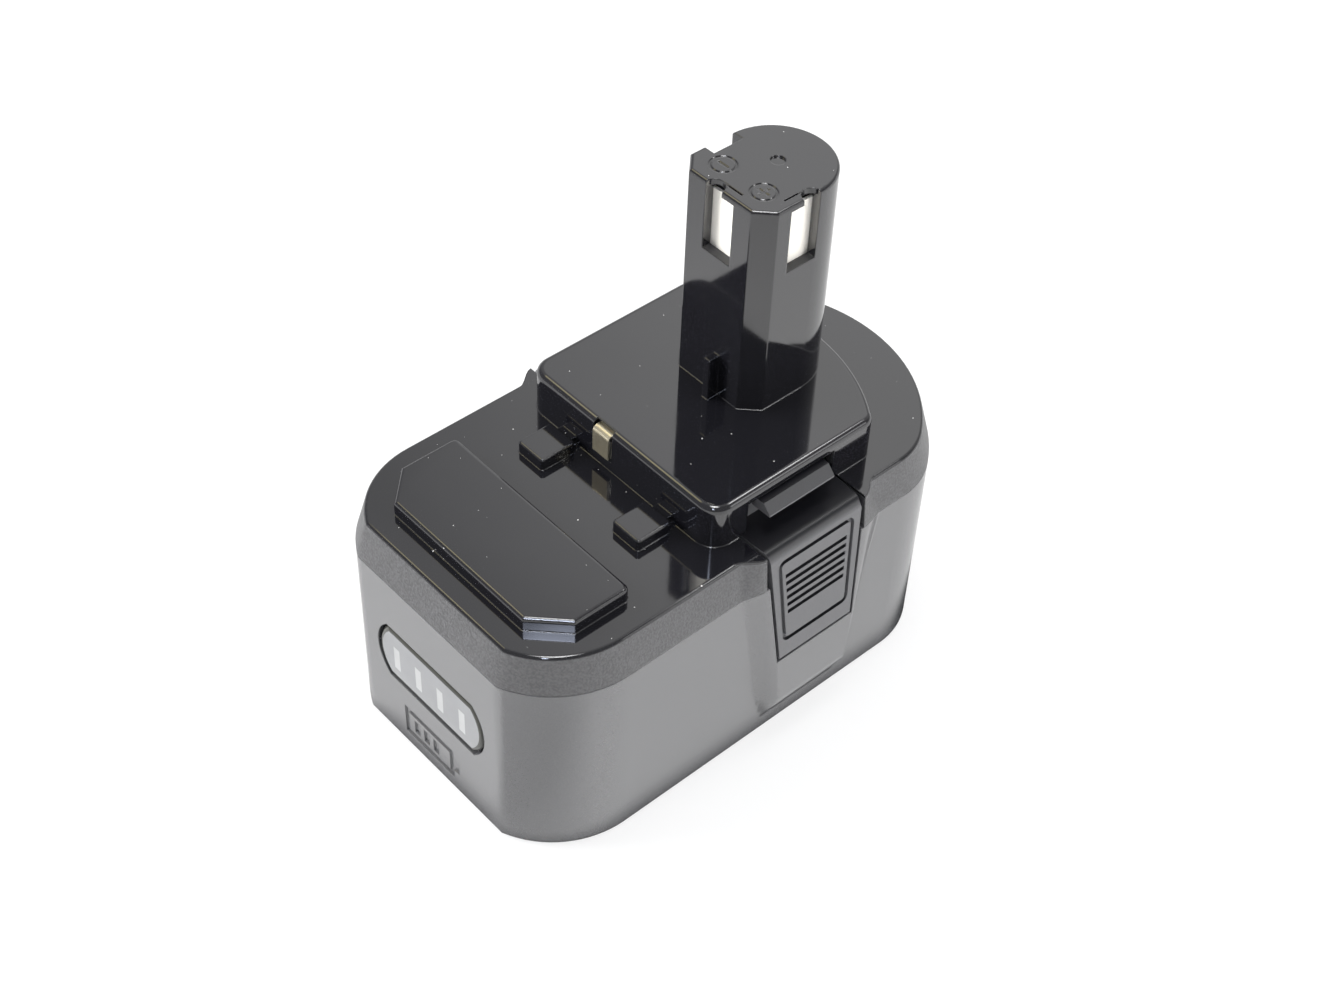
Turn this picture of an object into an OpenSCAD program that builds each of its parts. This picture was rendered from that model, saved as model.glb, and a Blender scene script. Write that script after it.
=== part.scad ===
// Stem-type battery pack for power tools. Millimetres, Z up, front (gauge) towards -Y.
// Origin: middle of the footprint, on the surface that the pack stands on.

/* [Body] */
// Width of the housing half way along, without the latch pods
body_w = 75; // [74:0.5:84]
// Length of the housing from the gauge face to the rounded rear
body_l = 129; // [127:0.5:142]
// Height of the lower housing up to the parting line
base_h = 49.2; // [49:0.2:60]
// Height of the cover's band above the parting line
cover_h = 8.7; // [8:0.1:14]
// How far the band leans in between the parting line and the top
band_lean = 2.4; // [1.5:0.1:3.5]
// Wall thickness of the mouldings
wall = 2.4; // [2:0.1:2.8]

/* [Deck and stem] */
// Width of the raised deck
deck_w = 59.2; // [56:0.2:64]
// Height of the deck above the cover's top
deck_h = 10.85; // [10:0.05:14]
// Where the deck starts, from the middle of the pack
deck_front = -13.7; // [-15:0.1:-12]
// Length of the deck
deck_l = 56; // [54:0.5:60]
// Width of the stem
stem_w = 25.6; // [25:0.1:30]
// Depth of the stem, front to rear
stem_l = 28.1; // [27:0.1:32]
// Height of the stem above the deck
stem_h = 51.7; // [45:0.1:60]
// Where the stem's front face stands
stem_front = 11.5; // [11:0.1:12.5]
// Width of a contact window
window_w = 8; // [6:0.1:9]
// Height of a contact window
window_h = 16.6; // [12:0.1:20]

/* [Top details] */
// Height of the plaque above the top
plaque_h = 3.4; // [2:0.05:5]
// Width of the plaque
plaque_w = 56.4; // [50:0.2:60]
// Height of the locating studs above the top
stud_h = 2.8; // [2.3:0.05:5]
// Side of a locating stud, across the pack
stud_w = 8.2; // [6:0.1:9]
// Side of a locating stud, along the pack
stud_l = 9.2; // [7:0.1:9.6]
// Middle of a stud from the centre line
stud_x = 15.3; // [12:0.1:17]

/* [Latches] */
// How far a latch goes in
latch_travel = 3.2; // [2.5:0.1:3.3]
// Middle of the latches along the pack
latch_y = 8.2; // [7:0.1:9]
// Half width of a latch panel at its top
latch_top = 13.9; // [12.5:0.1:14.5]
// Half width of a latch panel at its bottom
latch_bottom = 11; // [10:0.1:12]
// Height of a latch panel's lower edge
latch_z = 26.6; // [24:0.2:30]
// How far the pods stand out of the sides at their widest
pod_out = 4; // [3.6:0.1:5]
// Gap round moving pieces
gap = 0.35; // [0.3:0.05:0.5]

/* [Charge gauge] */
// Width of the gauge opening
gauge_w = 36.4; // [32:0.2:40]
// Height of the gauge opening
gauge_h = 16.2; // [14:0.2:18]
// Height of the gauge's middle
gauge_z = 27.4; // [24:0.2:30]
// How far the gauge button is pressed
button_travel = 0.6; // [0.3:0.05:0.8]
// Spacing of the light windows
led_pitch = 7.4; // [6:0.1:8]

/* [Cells] */
// Diameter of a cell
cell_d = 18.3; // [18:0.1:18.4]
// Length of a cell
cell_l = 65; // [64:0.1:65.2]
// Spacing of the cells
cell_pitch = 18.8; // [18.8:0.05:19]

/* [Hidden] */
$fn = 64;

// Heights of the main levels
top_z = base_h + cover_h;
deck_z = top_z + deck_h;
stem_z = deck_z + stem_h;
front_y = -body_l / 2;
rear_y = body_l / 2;

// Plan of the body: each corner is an arc [x, y, radius, first angle, last angle], anticlockwise
front_r = 24;
front_bulge = 1.9;
rear_corner_r = 19.5;
deck_corner = 5;
deck_rear_corner = 3.5;

// Arcs of an outline with straight sides and a bulging rear. The rear arc takes over from the
// rear corners where their radius points along slope, whose parts are those of a 3-4-5 triangle
function rear_arc(half, r, slope) = (half - r) / slope[0] + r;
function bulged(half, front, rear, front_r, r, slope) =
    let (big_r = rear_arc(half, r, slope), big_y = rear - big_r)
    let (cy = big_y + (big_r - r) * slope[1], turn = atan2(slope[1], slope[0]))
    [
        [half - front_r, front + front_r, front_r, -90, 0],
        [half - r, cy, r, 0, turn],
        [0, big_y, big_r, turn, 180 - turn],
        [r - half, cy, r, 180 - turn, 180],
        [front_r - half, front + front_r, front_r, 180, 270]
    ];
body_arcs = bulged(body_w / 2, front_y - front_bulge, rear_y, front_r, rear_corner_r, [0.8, 0.6]);
deck_arcs = bulged(deck_w / 2, deck_front, deck_front + deck_l, deck_corner, deck_rear_corner, [0.6, 0.8]);
stem_r = stem_w / 2;
stem_rear = stem_front + stem_l;
function stem_arcs(corner) = [
    [stem_r - corner, stem_front + corner, corner, -90, 0],
    [0, stem_rear - stem_r, stem_r, 0, 180],
    [corner - stem_r, stem_front + corner, corner, 180, 270]
];

// Arcs of a convex polygon with all its corners rounded to radius r
function turn(a, b) = b < a ? b + 360 : b;
function rounded(p, r) = [
    for (i = [0:len(p) - 1])
        let (a = p[(i + len(p) - 1) % len(p)], b = p[i], c = p[(i + 1) % len(p)])
        let (u = atan2(b[1] - a[1], b[0] - a[0]) - 90, v = atan2(c[1] - b[1], c[0] - b[0]) - 90)
        let (nu = [cos(u), sin(u)], nv = [cos(v), sin(v)])
        let (o = b - r * (nu + nv) / (1 + nu * nv))
        [o[0], o[1], r, u, turn(u, v)]
];
function box_points(x0, y0, x1, y1) = [[x0, y0], [x1, y0], [x1, y1], [x0, y1]];

// Points of an outline drawn in by a distance, its arcs in short steps
function on_arc(a, t, inset) =
    [a[0] + (a[2] - inset) * cos(t), a[1] + (a[2] - inset) * sin(t)];
function core_points(arcs, inset) = [
    for (a = arcs)
        let (n = a[2] > inset ? ceil((a[4] - a[3]) / 12) : 0)
        for (i = [0:n])
            n == 0 ? [a[0], a[1]] : on_arc(a, a[3] + (a[4] - a[3]) * i / n, inset)
];

// Solid whose edge follows the arcs; the child is its section, x inwards and y upwards
module swept(arcs, depth, z0, z1) {
    for (k = [0:len(arcs) - 1]) {
        a = arcs[k];
        b = arcs[(k + 1) % len(arcs)];
        p = on_arc(a, a[4], 0);
        q = on_arc(b, b[3], 0);
        translate([a[0], a[1], 0])
            rotate([0, 0, a[3]])
                rotate_extrude(angle = a[4] - a[3])
                    intersection() {
                        translate([a[2], 0]) mirror([1, 0]) children();
                        translate([0, z0 - 1]) square([a[2] + 1, z1 - z0 + 2]);
                    }
        if (norm(q - p) > 0.01)
            translate([p[0], p[1], 0])
                rotate([0, 0, atan2(q[1] - p[1], q[0] - p[0])])
                    rotate([90, 0, 90])
                        linear_extrude(norm(q - p)) children();
    }
    translate([0, 0, z0])
        linear_extrude(z1 - z0)
            polygon(core_points(arcs, depth * 0.7));
}

// Flat outline of the arcs, drawn in by a distance
module outline(arcs, inset) {
    polygon([for (a = arcs) for (t = [a[3], a[4]]) on_arc(a, t, inset)]);
    for (a = arcs)
        intersection() {
            translate([a[0], a[1]]) circle(a[2] - inset);
            polygon(concat(
                [[a[0], a[1]]],
                [for (i = [0:4]) on_arc(a, a[3] + (a[4] - a[3]) * i / 4, -a[2])]
            ));
        }
}
module body_outline(inset) {
    intersection() {
        outline(body_arcs, inset);
        translate([-body_w, front_y + inset]) square([2 * body_w, body_l + 5]);
    }
}

// Section of a slab with rounded lower and upper edges
module slab_section(depth, z0, z1, low_r, high_r) {
    mid = (z0 + z1) / 2;
    translate([0, z0 + low_r]) square([depth, z1 - z0 - low_r - high_r]);
    translate([low_r, z0]) square([depth - low_r, mid - z0]);
    translate([high_r, mid]) square([depth - high_r, z1 - mid]);
    if (low_r > 0)
        translate([low_r, z0 + low_r]) circle(low_r);
    if (high_r > 0)
        translate([high_r, z1 - high_r]) circle(high_r);
}
module slab(arcs, depth, z0, z1, high_r) {
    swept(arcs, depth, z0, z1) slab_section(depth, z0, z1, 0, high_r);
}

// Body solid: the swept outline cut off by the flat front, both with the same section
module body_solid(depth, z0, z1) {
    intersection() {
        swept(body_arcs, depth, z0, z1) children();
        translate([-body_w, front_y, 0])
            rotate([90, 0, 90])
                linear_extrude(2 * body_w) {
                    children();
                    translate([depth * 0.7, z0]) square([body_l + 5, z1 - z0]);
                }
    }
}
edge_depth = 9;
foot_r = 1.5;
seam = 0.35;
module tub_section() {
    difference() {
        slab_section(edge_depth, 0, base_h, foot_r, 0);
        polygon([[-1, base_h - seam - 1], [-1, base_h + 1], [seam + 1, base_h + 1]]);
    }
}
rim_r = 0.9;
lean_l = norm([band_lean, cover_h]);
lean_n = [cover_h, -band_lean] / lean_l;
rim_c = [(rim_r - lean_n[1] * (cover_h - rim_r)) / lean_n[0], top_z - rim_r];
module band_section() {
    polygon([
        [0, base_h], [edge_depth, base_h], [edge_depth, top_z],
        [rim_c[0], top_z], rim_c - rim_r * lean_n
    ]);
    translate(rim_c) circle(rim_r);
}

module both_sides() {
    children();
    mirror([1, 0, 0]) children();
}

// Box between two corners
module block(a, b) {
    translate(a) cube(b - a);
}
module pin_x(d, x0, x1, y, z) {
    translate([x0, y, z]) rotate([0, 90, 0]) cylinder(d = d, h = x1 - x0);
}
module pin_z(d, x, y, z0, z1) {
    translate([x, y, z0]) cylinder(d = d, h = z1 - z0);
}

// Flared pod on each side, from sections [z, x at the wall and of the face, half width at the wall
// and at the face]. Each flank leaves the wall and meets the face in a soft curve
side_x = body_w / 2;
pod_top_x = side_x + 0.5;
pod_low_x = side_x + pod_out;
pod_face_x = side_x + pod_out - 0.5;
pod_seam_x = pod_top_x + (pod_face_x - pod_top_x) * cover_h / (top_z - latch_z);
pod_wall_x = side_x - 0.25;
pod_low_z = 14;
pod_end_z = 3.2;
pod_steps = 6;
function ease(t) = t * t * (3 - 2 * t);
pod_top = [top_z, side_x - band_lean - 0.4, pod_top_x, latch_top + 6.3, latch_top + 0.3];
pod_seam = [base_h, pod_wall_x, pod_seam_x, latch_top + 8.5, latch_top + 0.1];
pod_panel = [latch_z, pod_wall_x, pod_face_x, latch_bottom + 5.9, latch_bottom + 0.4];
pod_end = [pod_end_z, side_x - 1.1, side_x - 0.2, latch_bottom + 1, latch_bottom];
// Underside, from the wall out to the widest place
function pod_under(t) = [
    pod_end_z + (pod_low_z - pod_end_z) * t, pod_wall_x, pod_wall_x + (pod_low_x - pod_wall_x) * ease(t),
    latch_bottom + 1 + 2.5 * t, latch_bottom - t
];
function pod_ring(s, back_x) =
    let (flank = [for (i = [0:pod_steps])
        let (t = i / pod_steps) [s[1] + (s[2] - s[1]) * ease(t), s[3] + (s[4] - s[3]) * t]])
    concat(
        [[back_x, latch_y - s[3], s[0]]],
        [for (p = flank) [p[0], latch_y - p[1], s[0]]],
        [for (i = [pod_steps:-1:0]) [flank[i][0], latch_y + flank[i][1], s[0]]],
        [[back_x, latch_y + s[3], s[0]]]
    );
module pod(sections, back_x) {
    n = len(sections);
    m = 2 * pod_steps + 4;
    end = m * (n - 1);
    polyhedron(
        points = [for (s = sections) each pod_ring(s, back_x)],
        faces = concat(
            [for (i = [0:m / 2 - 2]) [i, i + 1, m - 2 - i]],
            [for (i = [0:m / 2 - 2]) [i, m - 2 - i, m - 1 - i]],
            [for (k = [0:n - 2]) for (i = [0:m - 1])
                [m * k + i, m * k + m + (i + 1) % m, m * k + (i + 1) % m]],
            [for (k = [0:n - 2]) for (i = [0:m - 1])
                [m * k + i, m * k + m + i, m * k + m + (i + 1) % m]],
            [for (i = [0:m / 2 - 2]) [end + i, end + m - 2 - i, end + i + 1]],
            [for (i = [0:m / 2 - 2]) [end + i, end + m - 1 - i, end + m - 2 - i]]
        )
    );
}

// Latch outline seen from the side, grown by a distance
module latch_outline(grow) {
    rise = (latch_top - latch_bottom) / (top_z - latch_z);
    top = latch_top + grow + rise;
    low = latch_bottom + grow - rise * grow;
    polygon([
        [latch_y - low, latch_z - grow], [latch_y + low, latch_z - grow],
        [latch_y + top, top_z + 1], [latch_y - top, top_z + 1]
    ]);
}
module along_x(x0, x1) {
    translate([x0, 0, 0]) rotate([90, 0, 90]) linear_extrude(x1 - x0) children();
}
module along_y(y0, y1) {
    translate([0, y1, 0]) rotate([90, 0, 0]) linear_extrude(y1 - y0) children();
}

// Screws that close the case
screw_spots = [[26, front_y + 8], [20, rear_y - 14.5]];
screw_d = 3;
screw_head_d = 5.8;
screw_seat = base_h - 11.2;
boss_top = base_h - 3.2;
screw_end = top_z - 4.9;

// Gauge opening seen from the front, drawn in by a distance
module gauge_outline(inset) {
    end_r = 10.5;
    intersection() {
        square([gauge_w - 2 * inset, gauge_h - 2 * inset], center = true);
        union() {
            square([gauge_w - 2 * end_r, gauge_h], center = true);
            for (s = [-1, 1])
                translate([s * (gauge_w / 2 - end_r), 0]) circle(end_r - inset);
        }
    }
}
module gauge_prism(inset, y0, y1) {
    translate([0, 0, gauge_z]) along_y(y0, y1) gauge_outline(inset);
}

// Plain battery picture under the gauge
module battery_mark() {
    difference() {
        square([17, 8.6], center = true);
        square([14.4, 6], center = true);
    }
    translate([8.5, -1.8]) square([1.8, 3.6]);
    for (x = [-5.2, -1.9, 1.4])
        translate([x, -1.8]) square([1.8, 3.6]);
}
mark_z = 8.8;
floor_z = wall;
lens_back = front_y + wall + 1.3;
board_room = 4.9;
board_back_y = lens_back + board_room;
board_t = 1.6;
gauge_board_x = gauge_w / 2 + 0.8;
gauge_board_low = gauge_z - gauge_h / 2 - 2.9;
gauge_board_high = gauge_z + gauge_h / 2 + 1.9;

module lower_housing() {
    color([0.09, 0.09, 0.1]) difference() {
        union() {
            body_solid(edge_depth, 0, base_h) tub_section();
            both_sides() pod(
                concat([pod_end], [for (t = [0.2:0.2:1]) pod_under(t)], [pod_panel, pod_seam]), side_x - 1.2);
        }
        difference() {
            translate([0, 0, floor_z]) linear_extrude(base_h) body_outline(wall);
            both_sides()
                for (p = screw_spots)
                    pin_z(8.8, p[0], p[1], 0, boss_top);
            both_sides()
                for (y = [board_back_y - board_t - 1.5, board_back_y])
                    block([gauge_board_x - 3, y, 0], [gauge_board_x + 1, y + 1.5, gauge_z - 4]);
            both_sides() block(
                [gauge_board_x - 3, board_back_y - board_t, 0],
                [gauge_board_x + 1, board_back_y, gauge_board_low]
            );
        }
        both_sides()
            for (p = screw_spots) {
                pin_z(6.6, p[0], p[1], -1, screw_seat);
                pin_z(screw_d + 0.4, p[0], p[1], 0, boss_top + 1);
            }
        both_sides() along_x(side_x - 7, side_x + 8) latch_outline(gap);
        gauge_prism(0, front_y - 1, front_y + wall + 1);
        translate([-1.5, 0, mark_z]) along_y(front_y - 1, front_y + 0.4) battery_mark();
    }
}

// Levels and places inside the cover
roof_z = top_z - wall;
deck_wall = 2.2;
deck_roof = deck_z - deck_wall;
stem_wall = 2.2;
stem_roof = stem_z - stem_wall;
window_y = 22.9;
lip_in = wall + 0.3;
lip_t = 1.5;
hook_z = deck_z - 5.75;
hook_half = 9.3;
slot_half = 12.3;
slot_top = deck_z - 2.55;
ledge_t = 1.7;
ledge_in = deck_w / 2 - 5.6;
spring_z = top_z + 2.6;
spring_seat = ledge_in - 10.5;
clip_x0 = -7.3;
clip_x1 = -2.3;
clip_t = 0.6;
clip_z = deck_z - 1.15;
clip_bend = 1.4;
notch_l = 1.2;

// Plaque: a rectangle whose front corners are cut off by a square that stands on its corner
plaque_cut = 7.4;
plaque_corner = 1.6;
plaque_edge = 0.9;
module plaque_slab(points, z0) {
    slab(rounded(points, plaque_corner), 6, z0, top_z + plaque_h, plaque_edge);
}
module plaque() {
    half = plaque_w / 2;
    back_y = front_y + 30.2;
    nose_y = front_y + 8.4;
    intersection() {
        plaque_slab(box_points(-half, nose_y, half, back_y), top_z - 1);
        translate([0, nose_y + plaque_cut - half, 0])
            rotate([0, 0, 45])
                plaque_slab(box_points(0, 0, plaque_w, plaque_w), top_z - 2);
    }
}
module stud() {
    y0 = deck_front - 11.1;
    x0 = stud_x - stud_w / 2;
    points = box_points(x0, y0, x0 + stud_w, y0 + stud_l);
    slab(rounded(points, 0.8), 3, top_z - 1, top_z + stud_h, 0.5);
    block([stud_x - 2.2, y0 + stud_l - 1, top_z - 1], [stud_x + 2.2, deck_front + 1, top_z + 2.1]);
}

// Stem: flat front, round rear, and front corners cut off by a square that stands on its corner
stem_cut = 3.85;
stem_edge = 0.8;
module stem() {
    side = stem_w + stem_l;
    intersection() {
        slab(stem_arcs(1.5), 8, deck_z - 1, stem_z, stem_edge);
        translate([0, stem_front + stem_cut - stem_r, 0])
            rotate([0, 0, 45])
                slab(rounded(box_points(0, 0, side, side), 2), 8, deck_z - 2, stem_z, stem_edge);
    }
}

// Rounded recess and ring marks on the stem's top
module ring_mark(plus) {
    difference() {
        circle(2.95);
        circle(2.4);
    }
    square([3, 0.6], center = true);
    if (plus)
        square([0.6, 3], center = true);
}
module stem_marks() {
    mark_y = stem_front + 6.3;
    translate([0, 0, stem_z - 0.16]) linear_extrude(1) {
        translate([-5.85, mark_y]) ring_mark(false);
        translate([5.85, mark_y]) ring_mark(true);
    }
    translate([0, stem_front + 15.8, stem_z - 0.4]) cylinder(d = 3.2, h = 1);
}

// Windows open through the stem wall; the half round and slit beside them open through its roof
module stem_windows() {
    z0 = stem_z - window_h;
    z1 = stem_z - 1.4;
    half = window_w / 2;
    block([-half, stem_front - 1, z0], [half, stem_front + stem_wall + 1, z1]);
    pin_z(4.6, -half + 2.3, stem_front + 0.2, z0 + 1, stem_z + 1);
    block([-half + 2.3, stem_front + 2.1, stem_z - 0.5], [half, stem_front + 2.6, stem_z + 1]);
    both_sides() block([stem_r - stem_wall - 1, window_y - half, z0], [stem_r + 1, window_y + half, z1]);
    pin_z(4.6, stem_r - 0.2, window_y + half - 2.3, z0 + 1, stem_z + 1);
    block([stem_r - 2.6, window_y - half, stem_z - 0.5], [stem_r - 2.1, window_y + half - 2.3, stem_z + 1]);
    block([-stem_r - 1, window_y - half, z0], [-stem_r + 3.1, window_y + half, stem_z + 1]);
}
module latch_rail(s) {
    edge = latch_y + s * (latch_top + gap + 0.35);
    out = edge + s * 2;
    inner = edge - s * 2.5;
    y0 = min(out, edge);
    y1 = max(out, edge);
    block([ledge_in - 4, y0, top_z - 4], [side_x - 4.5, y1, roof_z + 0.5]);
    block([ledge_in - 4, min(out, inner), top_z - 4], [side_x - 4.5, max(out, inner), top_z - ledge_t - 0.3]);
}
module top_cover_shell() {
    difference() {
        union() {
            body_solid(edge_depth, base_h, top_z) band_section();
            translate([0, 0, base_h - 3]) linear_extrude(4) body_outline(lip_in);
            both_sides() pod([pod_seam, pod_top], side_x - 3);
            slab(deck_arcs, 8, top_z - 1, deck_z, 1.5);
            stem();
            plaque();
            both_sides() stud();
            block([1.4, stem_front - 2.8, deck_z - 1], [3, stem_front + 1, deck_z + 10.8]);
        }
        difference() {
            translate([0, 0, base_h - 4]) linear_extrude(roof_z - base_h + 4) body_outline(lip_in + lip_t);
            both_sides()
                for (p = screw_spots)
                    pin_z(7, p[0], p[1], boss_top, top_z);
        }
        difference() {
            translate([0, 0, base_h]) linear_extrude(deck_roof - base_h) outline(deck_arcs, deck_wall);
            both_sides() block(
                [spring_seat - 1.5, latch_y - slot_half - 1, top_z - 1], [spring_seat, latch_y + 4.8, deck_z]);
            both_sides() pin_x(3.6, spring_seat - 1, spring_seat + 2, latch_y, spring_z);
        }
        translate([0, 0, deck_z - 5]) linear_extrude(stem_roof - deck_z + 5) outline(stem_arcs(6), stem_wall);
        both_sides()
            for (p = screw_spots)
                pin_z(screw_d + 0.05, p[0], p[1], boss_top - 1, screw_end + 0.6);
        both_sides() along_x(side_x - 7.5, side_x + 8) latch_outline(gap);
        both_sides() block(
            [ledge_in - 4.5, latch_y - latch_top - gap, base_h - 4],
            [side_x + 8, latch_y + latch_top + gap, top_z + 0.3]
        );
        both_sides() block(
            [deck_w / 2 - 3.5, latch_y - slot_half, top_z],
            [deck_w / 2 + 1, latch_y + slot_half, slot_top]
        );
        block([clip_x0 - 0.4, deck_front - 1, clip_z - clip_bend],
            [clip_x1 + 0.4, deck_front + notch_l, deck_z + 1]);
        block([clip_x0 - 0.4, deck_front, clip_z - clip_t], [clip_x1 + 0.4, clip_in + 1, clip_z + gap]);
        block([clip_x0 - 0.4, clip_in - gap, deck_roof - 1], [clip_x1 + 0.4, clip_in + 1, clip_z + gap]);
        stem_windows();
        stem_marks();
    }
}
module top_cover() {
    color([0.05, 0.05, 0.055]) {
        top_cover_shell();
        both_sides()
            for (s = [-1, 1])
                latch_rail(s);
    }
}

// Latch: panel, ledge under the deck wall, upright and catch hook, in one moulding
panel_t = 1.6;
module panel_section(grow) {
    polygon([
        [ledge_in, top_z], [pod_top_x + grow, top_z], [pod_face_x + grow, latch_z],
        [pod_face_x - panel_t, latch_z], [pod_top_x - panel_t + 0.16, top_z - ledge_t],
        [ledge_in, top_z - ledge_t]
    ]);
}
module panel_band(low, high) {
    polygon([
        [pod_top_x + low, top_z + 1], [pod_top_x + high, top_z + 1],
        [pod_face_x + high, latch_z], [pod_face_x + low, latch_z]
    ]);
}
frame_points = [
    [latch_y - 10, latch_z + 4.6], [latch_y + 10, latch_z + 4.6],
    [latch_y + 11.6, top_z - 3.1], [latch_y - 11.6, top_z - 3.1]
];
grip_pitch = 2.1;
groove_w = 1.05;
groove_depth = 0.8;
module grip_marks() {
    frame_arcs = rounded(frame_points, 2);
    difference() {
        polygon(core_points(frame_arcs, 0));
        polygon(core_points(frame_arcs, groove_w));
    }
    for (k = [0:5])
        translate([latch_y, top_z - 8 - k * grip_pitch])
            square([18.6 - k * 0.3, groove_w], center = true);
}
module latch() {
    difference() {
        union() {
            intersection() {
                along_y(latch_y - 20, latch_y + 20) panel_section(0);
                along_x(ledge_in - 1, pod_low_x + 1) latch_outline(0);
            }
            block([ledge_in, latch_y - 9, top_z - ledge_t], [ledge_in + 2.3, latch_y + 9, hook_z + 2.6]);
            along_y(latch_y - hook_half, latch_y + hook_half) polygon([
                [ledge_in, hook_z], [deck_w / 2 + 3.4, hook_z], [deck_w / 2 + 3.4, hook_z + 0.5],
                [deck_w / 2 + 1.4, hook_z + 2.6], [ledge_in, hook_z + 2.6]
            ]);
            pin_x(3.6, ledge_in - 3.5, ledge_in + 1, latch_y, spring_z);
        }
        intersection() {
            along_y(latch_y - 20, latch_y + 20) panel_band(-groove_depth, 1);
            along_x(side_x - 3, pod_low_x + 1) grip_marks();
        }
    }
}
module latch_right() {
    color([0.1, 0.1, 0.105]) latch();
}
module latch_left() {
    color([0.1, 0.1, 0.105]) mirror([1, 0, 0]) latch();
}

// Return spring: one tube along X, wound round the two pins
spring_turns = 6;
spring_d = 5.2;
wire_d = 0.7;
spring_l = ledge_in - spring_seat - wire_d;
spring_steps = 8;
wire_sides = 6;
function coil(t) = [
    spring_seat + wire_d / 2 + spring_l * t / 360 / spring_turns,
    latch_y + spring_d / 2 * cos(t),
    spring_z + spring_d / 2 * sin(t)
];
function coil_ring(t) =
    let (c = coil(t), out = [0, cos(t), sin(t)])
    [for (j = [0:wire_sides - 1])
        c + wire_d / 2 * (cos(360 * j / wire_sides) * out + [sin(360 * j / wire_sides), 0, 0])];
spring_n = spring_turns * spring_steps;
coil_pitch = spring_l / spring_turns;
echo(spring_gap_to_itself = coil_pitch - wire_d);
module latch_spring() {
    w = wire_sides;
    polyhedron(
        points = [for (i = [0:spring_n]) each coil_ring(360 * i / spring_steps)],
        faces = concat(
            [[for (j = [w - 1:-1:0]) j]],
            [for (i = [0:spring_n - 1]) for (j = [0:w - 1])
                [w * i + j, w * i + w + (j + 1) % w, w * i + w + j]],
            [for (i = [0:spring_n - 1]) for (j = [0:w - 1])
                [w * i + j, w * i + (j + 1) % w, w * i + w + (j + 1) % w]],
            [[for (j = [0:w - 1]) w * spring_n + j]]
        )
    );
}
module latch_spring_right() {
    color([0.7, 0.7, 0.72]) latch_spring();
}
module latch_spring_left() {
    color([0.7, 0.7, 0.72]) mirror([1, 0, 0]) latch_spring();
}

// Gauge: lens that slides in the opening, with its light windows, in front of a small board
led_w = 2;
led_h = 6.6;
led_z = gauge_z - 0.7;
function led_x(k) = (k - 1.5) * led_pitch - 0.4;
module gauge_button() {
    color([0.62, 0.63, 0.65]) difference() {
        union() {
            gauge_prism(gap + 0.1, front_y, lens_back);
            gauge_prism(-1, front_y + wall + gap, lens_back);
            translate([0, lens_back - 0.5, gauge_z + 5.6]) rotate([-90, 0, 0]) cylinder(d = 3, h = 0.9);
        }
        for (k = [0:3])
            block([led_x(k) - led_w / 2, front_y - 1, led_z - led_h / 2],
                [led_x(k) + led_w / 2, lens_back + 1, led_z + led_h / 2]);
    }
}
module gauge_windows() {
    color([0.95, 0.95, 0.95])
        for (k = [0:3])
            block([led_x(k) - led_w / 2, front_y, led_z - led_h / 2],
                [led_x(k) + led_w / 2, lens_back, led_z + led_h / 2]);
}
board_front_y = board_back_y - board_t;
module gauge_board() {
    color([0.05, 0.3, 0.15])
        block([-gauge_board_x, board_front_y, gauge_board_low],
            [gauge_board_x, board_back_y, gauge_board_high]);
}
module gauge_leds() {
    color([0.95, 0.93, 0.8])
        for (k = [0:3])
            block([led_x(k) - 1, board_front_y - 0.9, led_z - 1.6], [led_x(k) + 1, board_front_y, led_z + 1.6]);
}
switch_front = lens_back + 0.4 + button_travel + 0.3;
module gauge_switch() {
    color([0.2, 0.2, 0.22]) {
        block([-2.2, switch_front + 0.6, gauge_z + 3.8], [2.2, board_front_y, gauge_z + 7.4]);
        translate([0, switch_front, gauge_z + 5.6]) rotate([-90, 0, 0]) cylinder(d = 2, h = 0.8);
    }
}

// Cell block: two layers of five cells lying across the pack
cell_y0 = front_y + 60.3;
cell_z0 = floor_z + 0.6 + 0.5 + cell_pitch / 2;
function cell_y(k) = cell_y0 + (k % 5 - 2) * cell_pitch;
function cell_z(k) = cell_z0 + floor(k / 5) * cell_pitch;
cell_r = cell_d / 2;
cell_end = cell_l / 2;
module cell(k) {
    color([0.1, 0.45, 0.35]) pin_x(cell_d, -cell_end, cell_end, cell_y(k), cell_z(k));
}
module cell_1() cell(0);
module cell_2() cell(1);
module cell_3() cell(2);
module cell_4() cell(3);
module cell_5() cell(4);
module cell_6() cell(5);
module cell_7() cell(6);
module cell_8() cell(7);
module cell_9() cell(8);
module cell_10() cell(9);

// End frame of the cell block: collars round the cells, end plate with a window for each strip
frame_y0 = cell_y0 - 2.5 * cell_pitch - 0.2;
frame_y1 = cell_y0 + 2.5 * cell_pitch + 0.2;
frame_z0 = cell_z0 - cell_pitch / 2 - 0.5;
frame_z1 = cell_z0 + 1.5 * cell_pitch + 0.5;
frame_in = cell_end - 12;
plate_t = 0.9;
post_h = 2;
// The posts stand over the valleys between cells, where the board's screws have room
post_spots = [(cell_y(0) + cell_y(1)) / 2, (cell_y(3) + cell_y(4)) / 2];
strip_w = 8;
strip_t = 0.3;
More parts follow.
